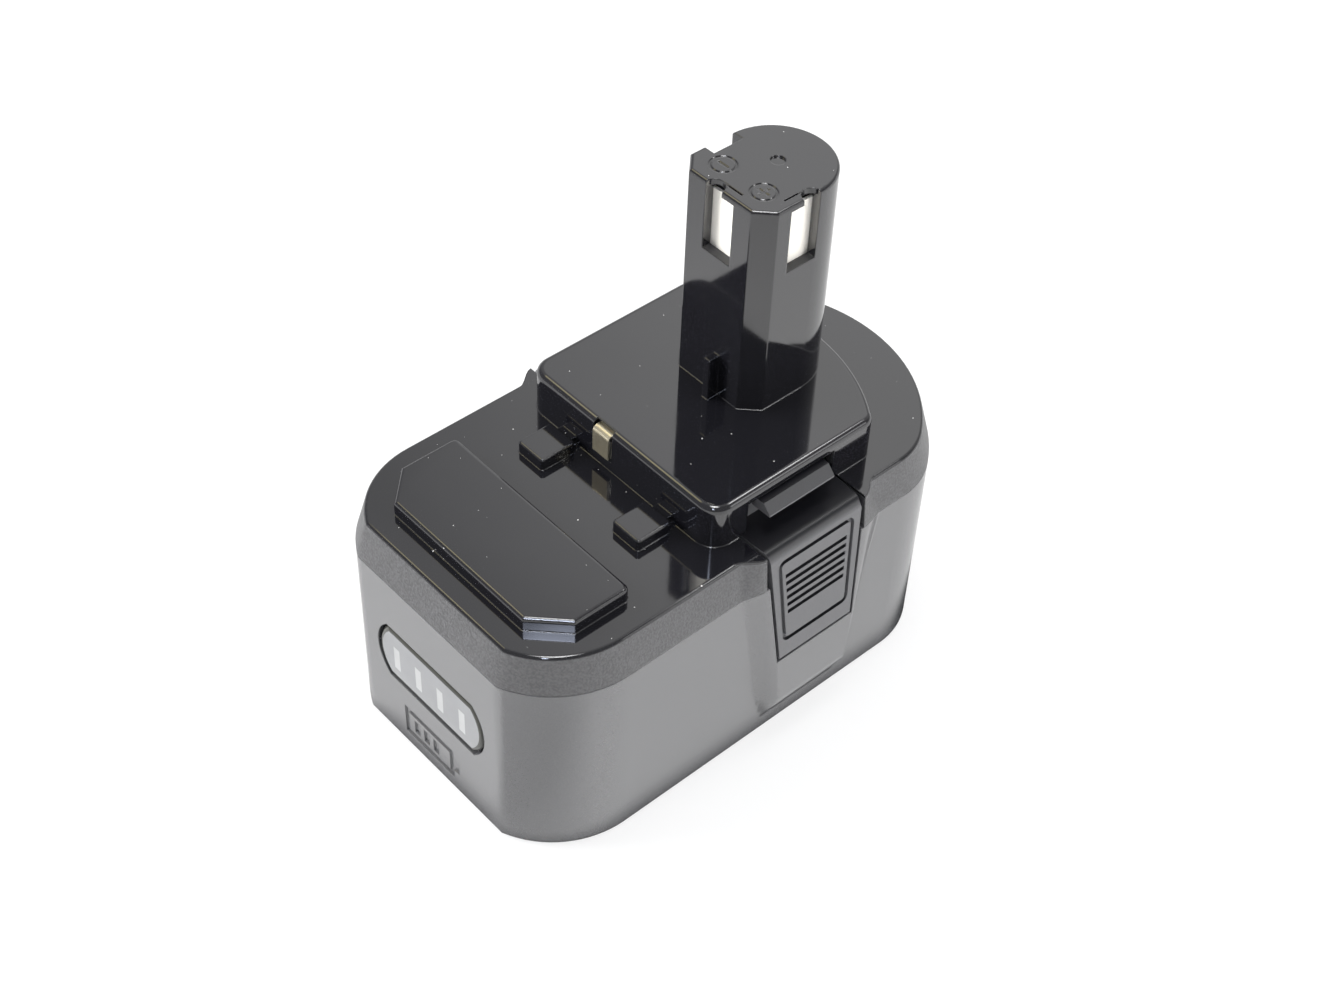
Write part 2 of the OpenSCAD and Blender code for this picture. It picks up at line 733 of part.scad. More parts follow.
// Columns joined by the strips of each side, [first, last]
strips_right = [[0, 0], [1, 2], [3, 4]];
strips_left = [[0, 1], [2, 3], [4, 4]];
module strip_area(s, grow) {
    block(
        [cell_end, cell_y(s[0]) - strip_w / 2 - grow, cell_z(0) - strip_w / 2 - grow],
        [cell_end + strip_t + 4 * grow, cell_y(s[1]) + strip_w / 2 + grow, cell_z(5) + strip_w / 2 + grow]
    );
}
post_x = cell_end - 6.5;
board_z = frame_z1 + post_h;
board_screw_d = 2.5;
module cell_holder(strips, lead_y) {
    difference() {
        union() {
            intersection() {
                block([frame_in, frame_y0, frame_z0], [cell_end + plate_t, frame_y1, frame_z1]);
                linear_extrude(base_h) body_outline(wall + gap);
            }
            for (y = post_spots)
                pin_z(6, post_x, y, frame_z1 - 0.5, board_z);
        }
        for (k = [0:9])
            pin_x(cell_d + 0.06, frame_in - 1, cell_end, cell_y(k), cell_z(k));
        for (s = strips)
            strip_area(s, 0.25);
        block([cell_end, lead_y - lead_w / 2 - 0.25, cell_z(5)],
            [cell_end + plate_t + 1, lead_y + lead_w / 2 + 0.25, frame_z1 + 1]);
        for (y = post_spots)
            pin_z(board_screw_d + 0.05, post_x, y, frame_z1 - 3, board_z + 1);
    }
}
module cell_holder_right() {
    color([0.16, 0.16, 0.17]) cell_holder(strips_right, cell_y(0) + lead_shift);
}
module cell_holder_left() {
    color([0.16, 0.16, 0.17]) mirror([1, 0, 0]) cell_holder(strips_left, cell_y(4) - lead_shift);
}
module strip_right(k) {
    color([0.75, 0.74, 0.7]) strip_area(strips_right[k], 0);
}
module strip_left(k) {
    color([0.75, 0.74, 0.7]) mirror([1, 0, 0]) strip_area(strips_left[k], 0);
}
module strip_right_1() strip_right(0);
module strip_right_2() strip_right(1);
module strip_right_3() strip_right(2);
module strip_left_1() strip_left(0);
module strip_left_2() strip_left(1);
module strip_left_3() strip_left(2);
sheet_t = 0.3;
module insulator() {
    x = cell_end + plate_t;
    block([x, frame_y0 + 2, frame_z0 + 1], [x + sheet_t, frame_y1 - 2, frame_z1 - 1]);
}
module insulator_right() {
    color([0.8, 0.76, 0.6]) insulator();
}
module insulator_left() {
    color([0.8, 0.76, 0.6]) mirror([1, 0, 0]) insulator();
}
module bottom_pad() {
    color([0.25, 0.25, 0.26])
        block([-cell_end, frame_y0 + 1, floor_z], [cell_end, frame_y1 - 1, frame_z0]);
}

// Main board on the posts, with the parts that stand up from it
board_top = board_z + board_t;
board_y0 = frame_y0 + 3;
board_y1 = frame_y1 - 4;
board_x = post_x + 4;
module main_board() {
    color([0.05, 0.3, 0.15]) difference() {
        block([-board_x, board_y0, board_z], [board_x, board_y1, board_top]);
        both_sides()
            for (y = post_spots)
                pin_z(board_screw_d + 0.4, post_x, y, board_z - 1, board_top + 1);
    }
}
module board_screws() {
    color([0.7, 0.7, 0.72])
        both_sides()
            for (y = post_spots) {
                pin_z(board_screw_d, post_x, y, frame_z1 - 2.5, board_top + 0.2);
                pin_z(4.6, post_x, y, board_top, board_top + 1.6);
            }
}
module power_transistors() {
    color([0.08, 0.08, 0.09])
        for (x = [-15, -3.5])
            block([x, board_y0 + 16, board_top], [x + 9, board_y0 + 26, board_top + 2.3]);
}
module board_fuse() {
    color([0.85, 0.82, 0.72])
        block([10, board_y0 + 17, board_top], [17, board_y0 + 20.5, board_top + 2.6]);
}
connector_y = board_y0 + 2;
module board_connector() {
    color([0.9, 0.88, 0.8])
        block([-7, connector_y, board_top], [7, connector_y + 5, board_top + 4.2]);
}
// Flat cable from the gauge board's back, up and over the cell block, to the connector
cable_t = 0.8;
cable_y = board_back_y;
cable_top = board_top + 3;
module gauge_cable() {
    color([0.75, 0.75, 0.76]) {
        block([-4.5, cable_y, gauge_z + 4], [4.5, cable_y + cable_t, cable_top]);
        block([-4.5, cable_y, cable_top - cable_t], [4.5, connector_y, cable_top]);
    }
}

// Contact strips stand on the main board against a moulded tower inside the stem
contact_t = 0.8;
contact_w = window_w + 1.4;
contact_gap = 0.15;
contact_top = stem_roof - 0.5;
tower_front = stem_front + stem_wall + contact_gap + contact_t;
tower_x = stem_r - stem_wall - contact_gap - contact_t;
tower_back = stem_wall + 5;
module terminal_holder() {
    color([0.12, 0.12, 0.13]) {
        block([-tower_x + 1.2, tower_front, board_top], [tower_x - 1.2, stem_rear - tower_back, contact_top]);
        block([-tower_x, window_y - 6, board_top], [tower_x, window_y + 6, contact_top]);
    }
}
module terminal_front() {
    color([0.9, 0.88, 0.84]) block(
        [-contact_w / 2, tower_front - contact_t, board_top], [contact_w / 2, tower_front, contact_top]);
}
module side_terminal() {
    block([tower_x, window_y - contact_w / 2, board_top],
        [tower_x + contact_t, window_y + contact_w / 2, contact_top]);
}
module terminal_right() {
    color([0.9, 0.88, 0.84]) side_terminal();
}
module terminal_left() {
    color([0.9, 0.88, 0.84]) mirror([1, 0, 0]) side_terminal();
}
// Clip: down the deck's front face, over its edge, and down inside to the board
clip_in = deck_front + deck_wall + 0.3;
module deck_contact() {
    color([0.85, 0.78, 0.6]) {
        block([clip_x0, deck_front - clip_t, top_z + 3.1], [clip_x1, deck_front, clip_z - clip_bend]);
        translate([0, deck_front - clip_t + clip_bend, clip_z - clip_bend])
            along_x(clip_x0, clip_x1)
                intersection() {
                    difference() {
                        circle(clip_bend);
                        circle(clip_bend - clip_t);
                    }
                    translate([-2 * clip_bend, 0]) square(2 * clip_bend);
                }
        block([clip_x0, deck_front - clip_t + clip_bend, clip_z - clip_t], [clip_x1, clip_in + clip_t, clip_z]);
        block([clip_x0, clip_in, board_top], [clip_x1, clip_in + clip_t, clip_z]);
    }
}

// Leads rise from the last strips, through a channel in the frame, and turn in to the board
lead_w = 4;
lead_t = 0.3;
lead_shift = 2.8;
module lead(y) {
    x0 = cell_end + strip_t;
    block([x0, y - lead_w / 2, cell_z(5)], [x0 + lead_t, y + lead_w / 2, board_top + lead_t]);
    block([board_x - 4, y - lead_w / 2, board_top], [x0 + lead_t, y + lead_w / 2, board_top + lead_t]);
}
module lead_negative() {
    color([0.75, 0.74, 0.7]) lead(cell_y(0) + lead_shift);
}
module lead_positive() {
    color([0.75, 0.74, 0.7]) mirror([1, 0, 0]) lead(cell_y(4) - lead_shift);
}
module housing_screws() {
    color([0.7, 0.7, 0.72])
        both_sides()
            for (p = screw_spots)
                difference() {
                    union() {
                        pin_z(screw_d, p[0], p[1], screw_seat - 1, screw_end);
                        pin_z(screw_head_d, p[0], p[1], screw_seat - 2.2, screw_seat);
                    }
                    for (t = [0, 90])
                        translate([p[0], p[1], screw_seat - 2.2])
                            rotate([0, 0, t]) cube([3.6, 0.8, 2.4], center = true);
                }
}

lower_housing();
top_cover();
latch_right();
latch_left();
latch_spring_right();
latch_spring_left();
gauge_button();
gauge_windows();
gauge_board();
gauge_leds();
gauge_switch();
gauge_cable();
main_board();
power_transistors();
board_fuse();
board_connector();
terminal_holder();
terminal_front();
terminal_right();
terminal_left();
deck_contact();
cell_1();
cell_2();
cell_3();
cell_4();
cell_5();
cell_6();
cell_7();
cell_8();
cell_9();
cell_10();
cell_holder_right();
cell_holder_left();
strip_right_1();
strip_right_2();
strip_right_3();
strip_left_1();
strip_left_2();
strip_left_3();
insulator_right();
insulator_left();
bottom_pad();
lead_positive();
lead_negative();
housing_screws();
board_screws();
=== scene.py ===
"""Looks of a stem-type power tool battery pack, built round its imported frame."""

import math

import bmesh
import bpy
from bpy.props import FloatProperty, FloatVectorProperty, PointerProperty
from mathutils import Matrix, Vector


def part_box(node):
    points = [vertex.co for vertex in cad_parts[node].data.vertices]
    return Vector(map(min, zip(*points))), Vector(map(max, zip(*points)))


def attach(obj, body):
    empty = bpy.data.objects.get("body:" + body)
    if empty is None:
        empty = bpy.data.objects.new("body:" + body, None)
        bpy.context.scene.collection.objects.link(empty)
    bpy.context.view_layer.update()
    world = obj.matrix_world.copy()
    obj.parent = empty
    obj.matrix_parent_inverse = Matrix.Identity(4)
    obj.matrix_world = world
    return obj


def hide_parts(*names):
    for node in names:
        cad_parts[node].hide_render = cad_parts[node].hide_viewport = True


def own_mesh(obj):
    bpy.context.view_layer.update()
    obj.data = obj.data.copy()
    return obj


bl_info = {
    "name": "Stem battery pack",
    "version": (1, 0, 0),
    "blender": (4, 5, 0),
    "location": "3D View > Sidebar > Battery pack",
    "description": "Dresses the pieces of a power tool battery pack and sets its studio stage",
    "category": "Object",
}

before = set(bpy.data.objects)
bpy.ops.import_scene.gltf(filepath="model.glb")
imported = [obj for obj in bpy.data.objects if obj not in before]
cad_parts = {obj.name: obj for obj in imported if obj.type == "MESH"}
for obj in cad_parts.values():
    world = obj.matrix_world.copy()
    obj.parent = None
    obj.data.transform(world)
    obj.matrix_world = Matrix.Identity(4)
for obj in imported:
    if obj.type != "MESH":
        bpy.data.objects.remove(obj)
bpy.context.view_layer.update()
MM = 0.001

# Places and sizes on the pack that finishes and pieces refer to
FRONT_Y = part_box("lower_housing")[0].y
PARTING_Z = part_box("lower_housing")[1].z
BAND_HEIGHT = 8.7 * MM
BAND_LEAN = 2.4 * MM
TOP_Z = PARTING_Z + BAND_HEIGHT
SIDE_X = 37.5 * MM
LATCH_Y = 8.2 * MM
LATCH_HALF = 12.5 * MM
POD_HALF = 22.6 * MM
CELL_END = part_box("cell_1")[1].x
SILL_DROP = 16.6 * MM
SILL_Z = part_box("top_cover")[1].z - SILL_DROP

# The foot's rounded outline on the floor: half sides of a rectangle, and the distance all round it
FOOT_CORE = (13.5 * MM, 40.5 * MM, 0)
FOOT_ROUND = 24 * MM

# Limits within which places and directions on the meshes count as the same
WELD = 0.002 * MM
SAME = 0.01 * MM
FLAT = math.radians(0.4)
LEVEL = 0.9999
BLEND = 0.7

# Sockets of the Mix node, which has a pair and a result for each kind of data
FLOAT_A, FLOAT_B, VECTOR_A, VECTOR_B, COLOUR_A, COLOUR_B = 2, 3, 4, 5, 6, 7
FLOAT, VECTOR, COLOUR = 0, 1, 2

# Point that the lamps are turned to
LAMP_AIM = Vector((0, 0, 0.06))


def linear(code):
    """Linear colour of an sRGB hex code."""
    channels = [int(code[i:i + 2], 16) / 255 for i in (1, 3, 5)]
    return tuple(c / 12.92 if c <= 0.04045 else ((c + 0.055) / 1.055) ** 2.4 for c in channels)


def colour(code, name, description):
    """Colour property whose default is an sRGB hex code."""
    return FloatVectorProperty(
        name=name, description=description, subtype="COLOR", size=3, min=0, max=1, default=linear(code)
    )


def length(size_mm, name, description):
    """Length property whose default is in millimetres."""
    return FloatProperty(
        name=name, description=description, subtype="DISTANCE", min=0, default=size_mm * MM
    )


class PackFinishes(bpy.types.PropertyGroup):
    """Colours of the mouldings and metals, and the sizes of grain and softened edges."""

    housing: colour("#545456", "Housing", "Satin plastic of the lower housing")
    cover: colour("#131317", "Cover", "Polished plastic of the top, deck and stem")
    band: colour("#4c4c4e", "Band", "Grained plastic of the cover's band")
    latch: colour("#626264", "Latch", "Satin plastic of the release latches")
    lens: colour("#797a7c", "Lens", "Translucent plastic of the gauge button")
    # Painted shade: the clear border of the lens is coloured dark for the gap seen through it
    painted_rim_shade: colour(
        "#33332f", "Lens rim", "Clear rounded border of the gauge button, dark like the gap behind it"
    )
    window: colour("#999a9a", "Light window", "Milky plastic of the gauge's light windows")
    nickel: colour("#fdf9f0", "Nickel", "Plating of the stem's contacts")
    gilt: colour("#fff4d6", "Gilt", "Plated brass of the deck's clip")
    sleeve: colour("#2c6e62", "Cell sleeve", "Shrunk film round the cells")
    board: colour("#1f5a38", "Board", "Lacquer of the circuit boards")
    grain: length(0.5, "Grain", "Spacing of the moulded grain on the band")
    micro_edge: length(0.4, "Micro edge", "Radius that catches the light on moulded edges")
    latch_edge: length(0.5, "Latch edge", "Width of the latches' softened edges")
    latch_shoulder: length(
        2.4, "Latch shoulder", "Width of the rounding between a latch's panel and ledge"
    )
    latch_gap: length(0.45, "Latch gap", "Extra width of the gap round a latch's panel")
    lens_edge: length(1.3, "Lens edge", "Width of the lens's rounded border")


class PackStage(bpy.types.PropertyGroup):
    """Camera, floor and light levels."""

    azimuth: FloatProperty(
        name="Azimuth", description="Camera's turn round the pack, from the gauge face towards +X",
        subtype="ANGLE", default=math.radians(46.28),
    )
    elevation: FloatProperty(
        name="Elevation", description="Camera's height above the horizon",
        subtype="ANGLE", default=math.radians(45.12),
    )
    roll: FloatProperty(
        name="Roll", description="Camera's turn about its own axis",
        subtype="ANGLE", default=math.radians(2.77),
    )
    lens: FloatProperty(name="Lens", description="Focal length", subtype="DISTANCE_CAMERA", default=57.74)
    distance: length(494.4, "Distance", "From the aim point to the camera")
    aim: FloatVectorProperty(
        name="Aim", description="Point in the middle of the picture", subtype="XYZ",
        default=(-12.64 * MM, 13.37 * MM, 23.57 * MM),
    )
    floor: length(12000, "Floor", "Half the side of the floor")
    shadow: FloatProperty(
        name="Shadow", description="Share of the floor's own shading that shows near the pack",
        min=0, max=1, default=0.25,
    )
    ambient: FloatProperty(
        name="Ambient", description="World light on matt surfaces", min=0, default=0.45
    )


def add(tree, kind, inputs=None, **settings):
    """Adds a node, with its settings, and its inputs as values or as links from nodes and sockets."""
    node = tree.nodes.new(kind)
    for name, value in settings.items():
        setattr(node, name, value)
    for socket, value in (inputs or {}).items():
        if isinstance(value, bpy.types.Node):
            value = value.outputs[0]
        if isinstance(value, bpy.types.NodeSocket):
            tree.links.new(value, node.inputs[socket])
        else:
            node.inputs[socket].default_value = value
    return node


def start_material(name):
    """Empty material, its node tree and its object coordinates."""
    material = bpy.data.materials.new(name)
    material.use_nodes = True
    tree = material.node_tree
    tree.nodes.clear()
    return material, tree, add(tree, "ShaderNodeTexCoord").outputs["Object"]


def rgba(rgb, shade=1.0):
    """Colour with full alpha, made darker by a shade."""
    return (*(c * shade for c in rgb), 1)


def per(size_mm):
    """Texture scale at which a pattern's features are this many millimetres apart."""
    return 1 / (size_mm * MM)


def cover_plastic(finish):
    """Black ABS, mirror polished above the rim and spark-grained on the band below it.

    The polish shows the surroundings with the faint waves of a moulding, a thin haze and some dust
    on the faces that look up. The grain is drawn coarser than the real one, so that it still shows
    in a picture of the whole pack.
    """
    material, tree, coords = start_material("black_abs_polished_and_grained")
    height = add(tree, "ShaderNodeSeparateXYZ", {0: coords}).outputs["Z"]
    # The polish ends in a line just under the rim
    polish = add(
        tree, "ShaderNodeMapRange",
        {"Value": height, "From Min": TOP_Z - 0.75 * MM, "From Max": TOP_Z - 0.45 * MM},
    )
    edges = add(tree, "ShaderNodeBevel", {"Radius": finish.micro_edge}, samples=6)
    waves = add(tree, "ShaderNodeTexNoise", {"Vector": coords, "Scale": per(10), "Detail": 1.0})
    grain = add(
        tree, "ShaderNodeTexNoise", {"Vector": coords, "Scale": per(finish.grain / MM), "Detail": 1.0}
    )
    wavy = add(
        tree, "ShaderNodeBump",
        {"Strength": 0.07, "Distance": 0.15 * MM, "Height": waves, "Normal": edges},
    )
    grained = add(
        tree, "ShaderNodeBump",
        {"Strength": 0.9, "Distance": 0.16 * MM, "Height": grain, "Normal": edges},
    )
    normal = add(
        tree, "ShaderNodeMix", {0: polish, VECTOR_A: grained, VECTOR_B: wavy}, data_type="VECTOR"
    )
    haze = add(tree, "ShaderNodeTexNoise", {"Vector": coords, "Scale": per(16), "Detail": 3.0})
    gloss = add(
        tree, "ShaderNodeMapRange",
        {"Value": haze, "From Min": 0.35, "From Max": 0.7, "To Min": 0.045, "To Max": 0.1},
    )
    rough = add(
        tree, "ShaderNodeMix", {0: polish, FLOAT_A: 0.42, FLOAT_B: gloss}, data_type="FLOAT"
    )
    facing = add(tree, "ShaderNodeSeparateXYZ", {0: add(tree, "ShaderNodeNewGeometry").outputs["Normal"]})
    upward = add(tree, "ShaderNodeMath", {0: facing.outputs["Z"], 1: 0.5}, operation="GREATER_THAN")
    # Sills of the stem's windows, the only level faces at their height, stay matt
    level = add(tree, "ShaderNodeMath", {0: height, 1: SILL_Z, 2: 2 * MM}, operation="COMPARE")
    sill = add(tree, "ShaderNodeMath", {0: level, 1: upward}, operation="MULTIPLY")
    dull = add(
        tree, "ShaderNodeMix", {0: sill, FLOAT_A: rough.outputs[FLOAT], FLOAT_B: 0.7}, data_type="FLOAT"
    )
    # Dust: one speck in each cell of a coarse net, most of them too small to see
    net = add(tree, "ShaderNodeTexVoronoi", {"Vector": coords, "Scale": per(7)}, voronoi_dimensions="2D")
    speck_size = add(
        tree, "ShaderNodeMapRange",
        {"Value": net.outputs["Color"], "From Min": 0.5, "From Max": 1, "To Min": 0, "To Max": 0.03},
    )
    speck = add(
        tree, "ShaderNodeMath", {0: net.outputs["Distance"], 1: speck_size}, operation="LESS_THAN"
    )
    dusty = add(tree, "ShaderNodeMath", {0: speck, 1: upward}, operation="MULTIPLY")
    dust = add(tree, "ShaderNodeMath", {0: dusty, 1: polish}, operation="MULTIPLY")
    pits = add(tree, "ShaderNodeMapRange", {"Value": grain, "From Min": 0.35, "From Max": 0.65})
    etched = add(
        tree, "ShaderNodeMix",
        {0: pits, COLOUR_A: rgba(finish.band, 0.5), COLOUR_B: rgba(finish.band)}, data_type="RGBA",
    )
    tint = add(
        tree, "ShaderNodeMix",
        {0: polish, COLOUR_A: etched.outputs[COLOUR], COLOUR_B: rgba(finish.cover)}, data_type="RGBA",
    )
    dusted = add(
        tree, "ShaderNodeMix",
        {0: dust, COLOUR_A: tint.outputs[COLOUR], COLOUR_B: rgba(linear("#c4c4c2"))}, data_type="RGBA",
    )
    shader = add(
        tree, "ShaderNodeBsdfPrincipled",
        {
            "Base Color": dusted.outputs[COLOUR], "Roughness": dull,
            "Normal": normal.outputs[VECTOR], "IOR": 2.05,
        },
    )
    add(tree, "ShaderNodeOutputMaterial", {"Surface": shader})
    return material


def satin_plastic(name, tint, rough, grain_mm, depth, ior, edge, painted_level_shade=None):
    """Moulded ABS with a satin face: a fine etched grain and slow changes of sheen.

    Where a colour is given for it, the level faces are painted in it as shade, and given a fixed roughness.
    """
    material, tree, coords = start_material(name)
    slow = add(tree, "ShaderNodeTexNoise", {"Vector": coords, "Scale": per(24), "Detail": 2.0})
    sheen = add(
        tree, "ShaderNodeMapRange",
        {"Value": slow, "From Min": 0.3, "From Max": 0.7, "To Min": rough - 0.04, "To Max": rough + 0.04},
    )
    grain = add(tree, "ShaderNodeTexNoise", {"Vector": coords, "Scale": per(grain_mm), "Detail": 1.0})
    edges = add(tree, "ShaderNodeBevel", {"Radius": edge}, samples=6)
    bump = add(
        tree, "ShaderNodeBump",
        {"Strength": depth, "Distance": 0.06 * MM, "Height": grain, "Normal": edges},
    )
    shade = add(tree, "ShaderNodeMapRange", {"Value": grain, "From Min": 0.25, "From Max": 0.75})
    tone = add(
        tree, "ShaderNodeMix",
        {0: shade, COLOUR_A: rgba(tint, 0.86), COLOUR_B: rgba(tint)}, data_type="RGBA",
    )
    surface = {"Base Color": tone.outputs[COLOUR], "Roughness": sheen, "Normal": bump, "IOR": ior}
    if painted_level_shade:
        # Painted shade: faces that look up take the darker colour
        facing = add(tree, "ShaderNodeSeparateXYZ", {0: edges})
        level = add(
            tree, "ShaderNodeMapRange", {"Value": facing.outputs["Z"], "From Min": 0.2, "From Max": 0.9}
        )
        dark = add(
            tree, "ShaderNodeMix",
            {0: level, COLOUR_A: tone.outputs[COLOUR], COLOUR_B: rgba(painted_level_shade)}, data_type="RGBA",
        )
        gloss = add(
            tree, "ShaderNodeMix", {0: level, FLOAT_A: sheen, FLOAT_B: 0.32}, data_type="FLOAT"
        )
        surface.update({"Base Color": dark.outputs[COLOUR], "Roughness": gloss.outputs[FLOAT]})
    shader = add(tree, "ShaderNodeBsdfPrincipled", surface)
    add(tree, "ShaderNodeOutputMaterial", {"Surface": shader})
    return material


def milky_plastic(name, tint, rough):
    """Glossy moulded polycarbonate, milky inside, with faint flow marks."""
    material, tree, coords = start_material(name)
    flow = add(tree, "ShaderNodeTexNoise", {"Vector": coords, "Scale": per(6), "Detail": 3.0})
    share = add(tree, "ShaderNodeMapRange", {"Value": flow, "From Min": 0.3, "From Max": 0.7})
    tone = add(
        tree, "ShaderNodeMix",
        {0: share, COLOUR_A: rgba(tint, 0.93), COLOUR_B: rgba(tint)}, data_type="RGBA",
    )
    gloss = add(
        tree, "ShaderNodeMapRange",
        {"Value": flow, "From Min": 0.3, "From Max": 0.7, "To Min": rough, "To Max": rough + 0.05},
    )
    shader = add(
        tree, "ShaderNodeBsdfPrincipled",
        {"Base Color": tone.outputs[COLOUR], "Roughness": gloss, "IOR": 1.58},
    )
    add(tree, "ShaderNodeOutputMaterial", {"Surface": shader})
    return material


def plated_strip(name, tint, metallic, rough, drawn_mm):
    """Rolled and plated metal: fine drawn lines along its height and a soft change of sheen."""
    material, tree, coords = start_material(name)
    along = add(tree, "ShaderNodeMapping", {"Vector": coords, "Scale": (1, 1, 0.05)})
    lines = add(tree, "ShaderNodeTexNoise", {"Vector": along, "Scale": per(drawn_mm), "Detail": 3.0})
    bump = add(tree, "ShaderNodeBump", {"Strength": 0.1, "Distance": 0.02 * MM, "Height": lines})
    sheen = add(
        tree, "ShaderNodeMapRange",
        {"Value": lines, "From Min": 0.3, "From Max": 0.7, "To Min": rough, "To Max": rough + 0.1},
    )
    tone = add(
        tree, "ShaderNodeMix",
        {0: lines, COLOUR_A: rgba(tint, 0.92), COLOUR_B: rgba(tint)}, data_type="RGBA",
    )
    shader = add(
        tree, "ShaderNodeBsdfPrincipled",
        {"Base Color": tone.outputs[COLOUR], "Metallic": metallic, "Roughness": sheen, "Normal": bump},
    )
    add(tree, "ShaderNodeOutputMaterial", {"Surface": shader})
    return material


def cell_film(finish):
    """Steel cell in a shrunk PVC sleeve: glossy wrinkled film, and bare nickelled steel at both ends."""
    material, tree, coords = start_material("pvc_sleeve_on_nickelled_can")
    across = add(tree, "ShaderNodeSeparateXYZ", {0: coords}).outputs["X"]
    reach = add(tree, "ShaderNodeMath", {0: across}, operation="ABSOLUTE")
    bare = add(tree, "ShaderNodeMath", {0: reach, 1: CELL_END - 0.3 * MM}, operation="GREATER_THAN")
    stretch = add(tree, "ShaderNodeMapping", {"Vector": coords, "Scale": (0.25, 1, 1)})
    wrinkle = add(tree, "ShaderNodeTexNoise", {"Vector": stretch, "Scale": per(4), "Detail": 3.0})
    bump = add(tree, "ShaderNodeBump", {"Strength": 0.15, "Distance": 0.1 * MM, "Height": wrinkle})
    film = add(
        tree, "ShaderNodeMix",
        {0: wrinkle, COLOUR_A: rgba(finish.sleeve, 0.85), COLOUR_B: rgba(finish.sleeve)}, data_type="RGBA",
    )
    tone = add(
        tree, "ShaderNodeMix",
        {0: bare, COLOUR_A: film.outputs[COLOUR], COLOUR_B: rgba(linear("#cfccc6"))}, data_type="RGBA",
    )
    rough = add(
        tree, "ShaderNodeMapRange",
        {"Value": wrinkle, "From Min": 0.3, "From Max": 0.7, "To Min": 0.25, "To Max": 0.35},
    )
    shader = add(
        tree, "ShaderNodeBsdfPrincipled",
        {"Base Color": tone.outputs[COLOUR], "Metallic": bare, "Roughness": rough, "Normal": bump},
    )
    add(tree, "ShaderNodeOutputMaterial", {"Surface": shader})
    return material


def board_laminate(finish):
    """Glass-epoxy board: green lacquer, a shade lighter over its copper tracks, with tinned pads."""
    material, tree, coords = start_material("glass_epoxy_board")
    tracks = add(
        tree, "ShaderNodeTexVoronoi", {"Vector": coords, "Scale": per(5), "Randomness": 0.6},
        feature="DISTANCE_TO_EDGE",
    )
    track = add(tree, "ShaderNodeMath", {0: tracks, 1: 0.09}, operation="LESS_THAN")
    holes = add(tree, "ShaderNodeTexVoronoi", {"Vector": coords, "Scale": per(6.5), "Randomness": 0.5})
    pad = add(tree, "ShaderNodeMath", {0: holes, 1: 0.13}, operation="LESS_THAN")
    lacquer = add(
        tree, "ShaderNodeMix",
        {0: track, COLOUR_A: rgba(finish.board, 0.7), COLOUR_B: rgba(finish.board)}, data_type="RGBA",
    )
    tone = add(
        tree, "ShaderNodeMix",
        {0: pad, COLOUR_A: lacquer.outputs[COLOUR], COLOUR_B: rgba(linear("#c9c6be"))}, data_type="RGBA",
    )
    relief = add(tree, "ShaderNodeMath", {0: track, 1: pad}, operation="ADD")
    bump = add(tree, "ShaderNodeBump", {"Strength": 0.3, "Distance": 0.05 * MM, "Height": relief})
    shader = add(
        tree, "ShaderNodeBsdfPrincipled",
        {"Base Color": tone.outputs[COLOUR], "Metallic": pad, "Roughness": 0.35, "Normal": bump},
    )
    add(tree, "ShaderNodeOutputMaterial", {"Surface": shader})
    return material


def speckled(name, light, dark, size_mm, rough, depth):
    """Matt sheet or moulding whose tone and surface vary in speckles: paper fibre, foam cells, filler."""
    material, tree, coords = start_material(name)
    cells = add(tree, "ShaderNodeTexNoise", {"Vector": coords, "Scale": per(size_mm), "Detail": 4.0})
    share = add(tree, "ShaderNodeMapRange", {"Value": cells, "From Min": 0.3, "From Max": 0.7})
    tone = add(
        tree, "ShaderNodeMix",
        {0: share, COLOUR_A: rgba(linear(dark)), COLOUR_B: rgba(linear(light))}, data_type="RGBA",
    )
    bump = add(tree, "ShaderNodeBump", {"Strength": depth, "Distance": 0.1 * MM, "Height": cells})
    shader = add(
        tree, "ShaderNodeBsdfPrincipled",
        {"Base Color": tone.outputs[COLOUR], "Roughness": rough, "Normal": bump},
    )
    add(tree, "ShaderNodeOutputMaterial", {"Surface": shader})
    return material


def ribbon_cable():
    """Flat PVC cable: cores side by side, as soft ribs along it, 2.54 mm apart.

    A wave texture has a period of a tenth of pi at a scale of 1.
    """
    material, tree, coords = start_material("grey_pvc_ribbon")
    ribs = add(
        tree, "ShaderNodeTexWave", {"Vector": coords, "Scale": per(2.54) * math.pi / 10},
        bands_direction="X",
    )
    tone = add(
        tree, "ShaderNodeMix",
        {0: ribs, COLOUR_A: rgba(linear("#77787a")), COLOUR_B: rgba(linear("#a6a7a8"))}, data_type="RGBA",
    )
    bump = add(tree, "ShaderNodeBump", {"Strength": 0.6, "Distance": 0.3 * MM, "Height": ribs})
    shader = add(
        tree, "ShaderNodeBsdfPrincipled",
        {"Base Color": tone.outputs[COLOUR], "Roughness": 0.45, "Normal": bump},
    )
    add(tree, "ShaderNodeOutputMaterial", {"Surface": shader})
    return material


def give(material, *nodes):
    """Puts a material on CAD nodes in place of their plain one."""
    for name in nodes:
        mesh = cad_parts[name].data
        mesh.materials.clear()
        mesh.materials.append(material)


def piece(bm, name, material, body, slot, *nodes):
    """Object of a bmesh that rides on a body and replaces CAD nodes."""
    mesh = bpy.data.meshes.new(name)
    bm.to_mesh(mesh)
    bm.free()
    mesh.materials.append(material)
    if "custom_normal" in mesh.attributes:
        mesh.attributes.remove(mesh.attributes["custom_normal"])
    obj = bpy.data.objects.new(name, mesh)
    bpy.context.scene.collection.objects.link(obj)
    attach(obj, body)
    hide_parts(*nodes)
    return obj


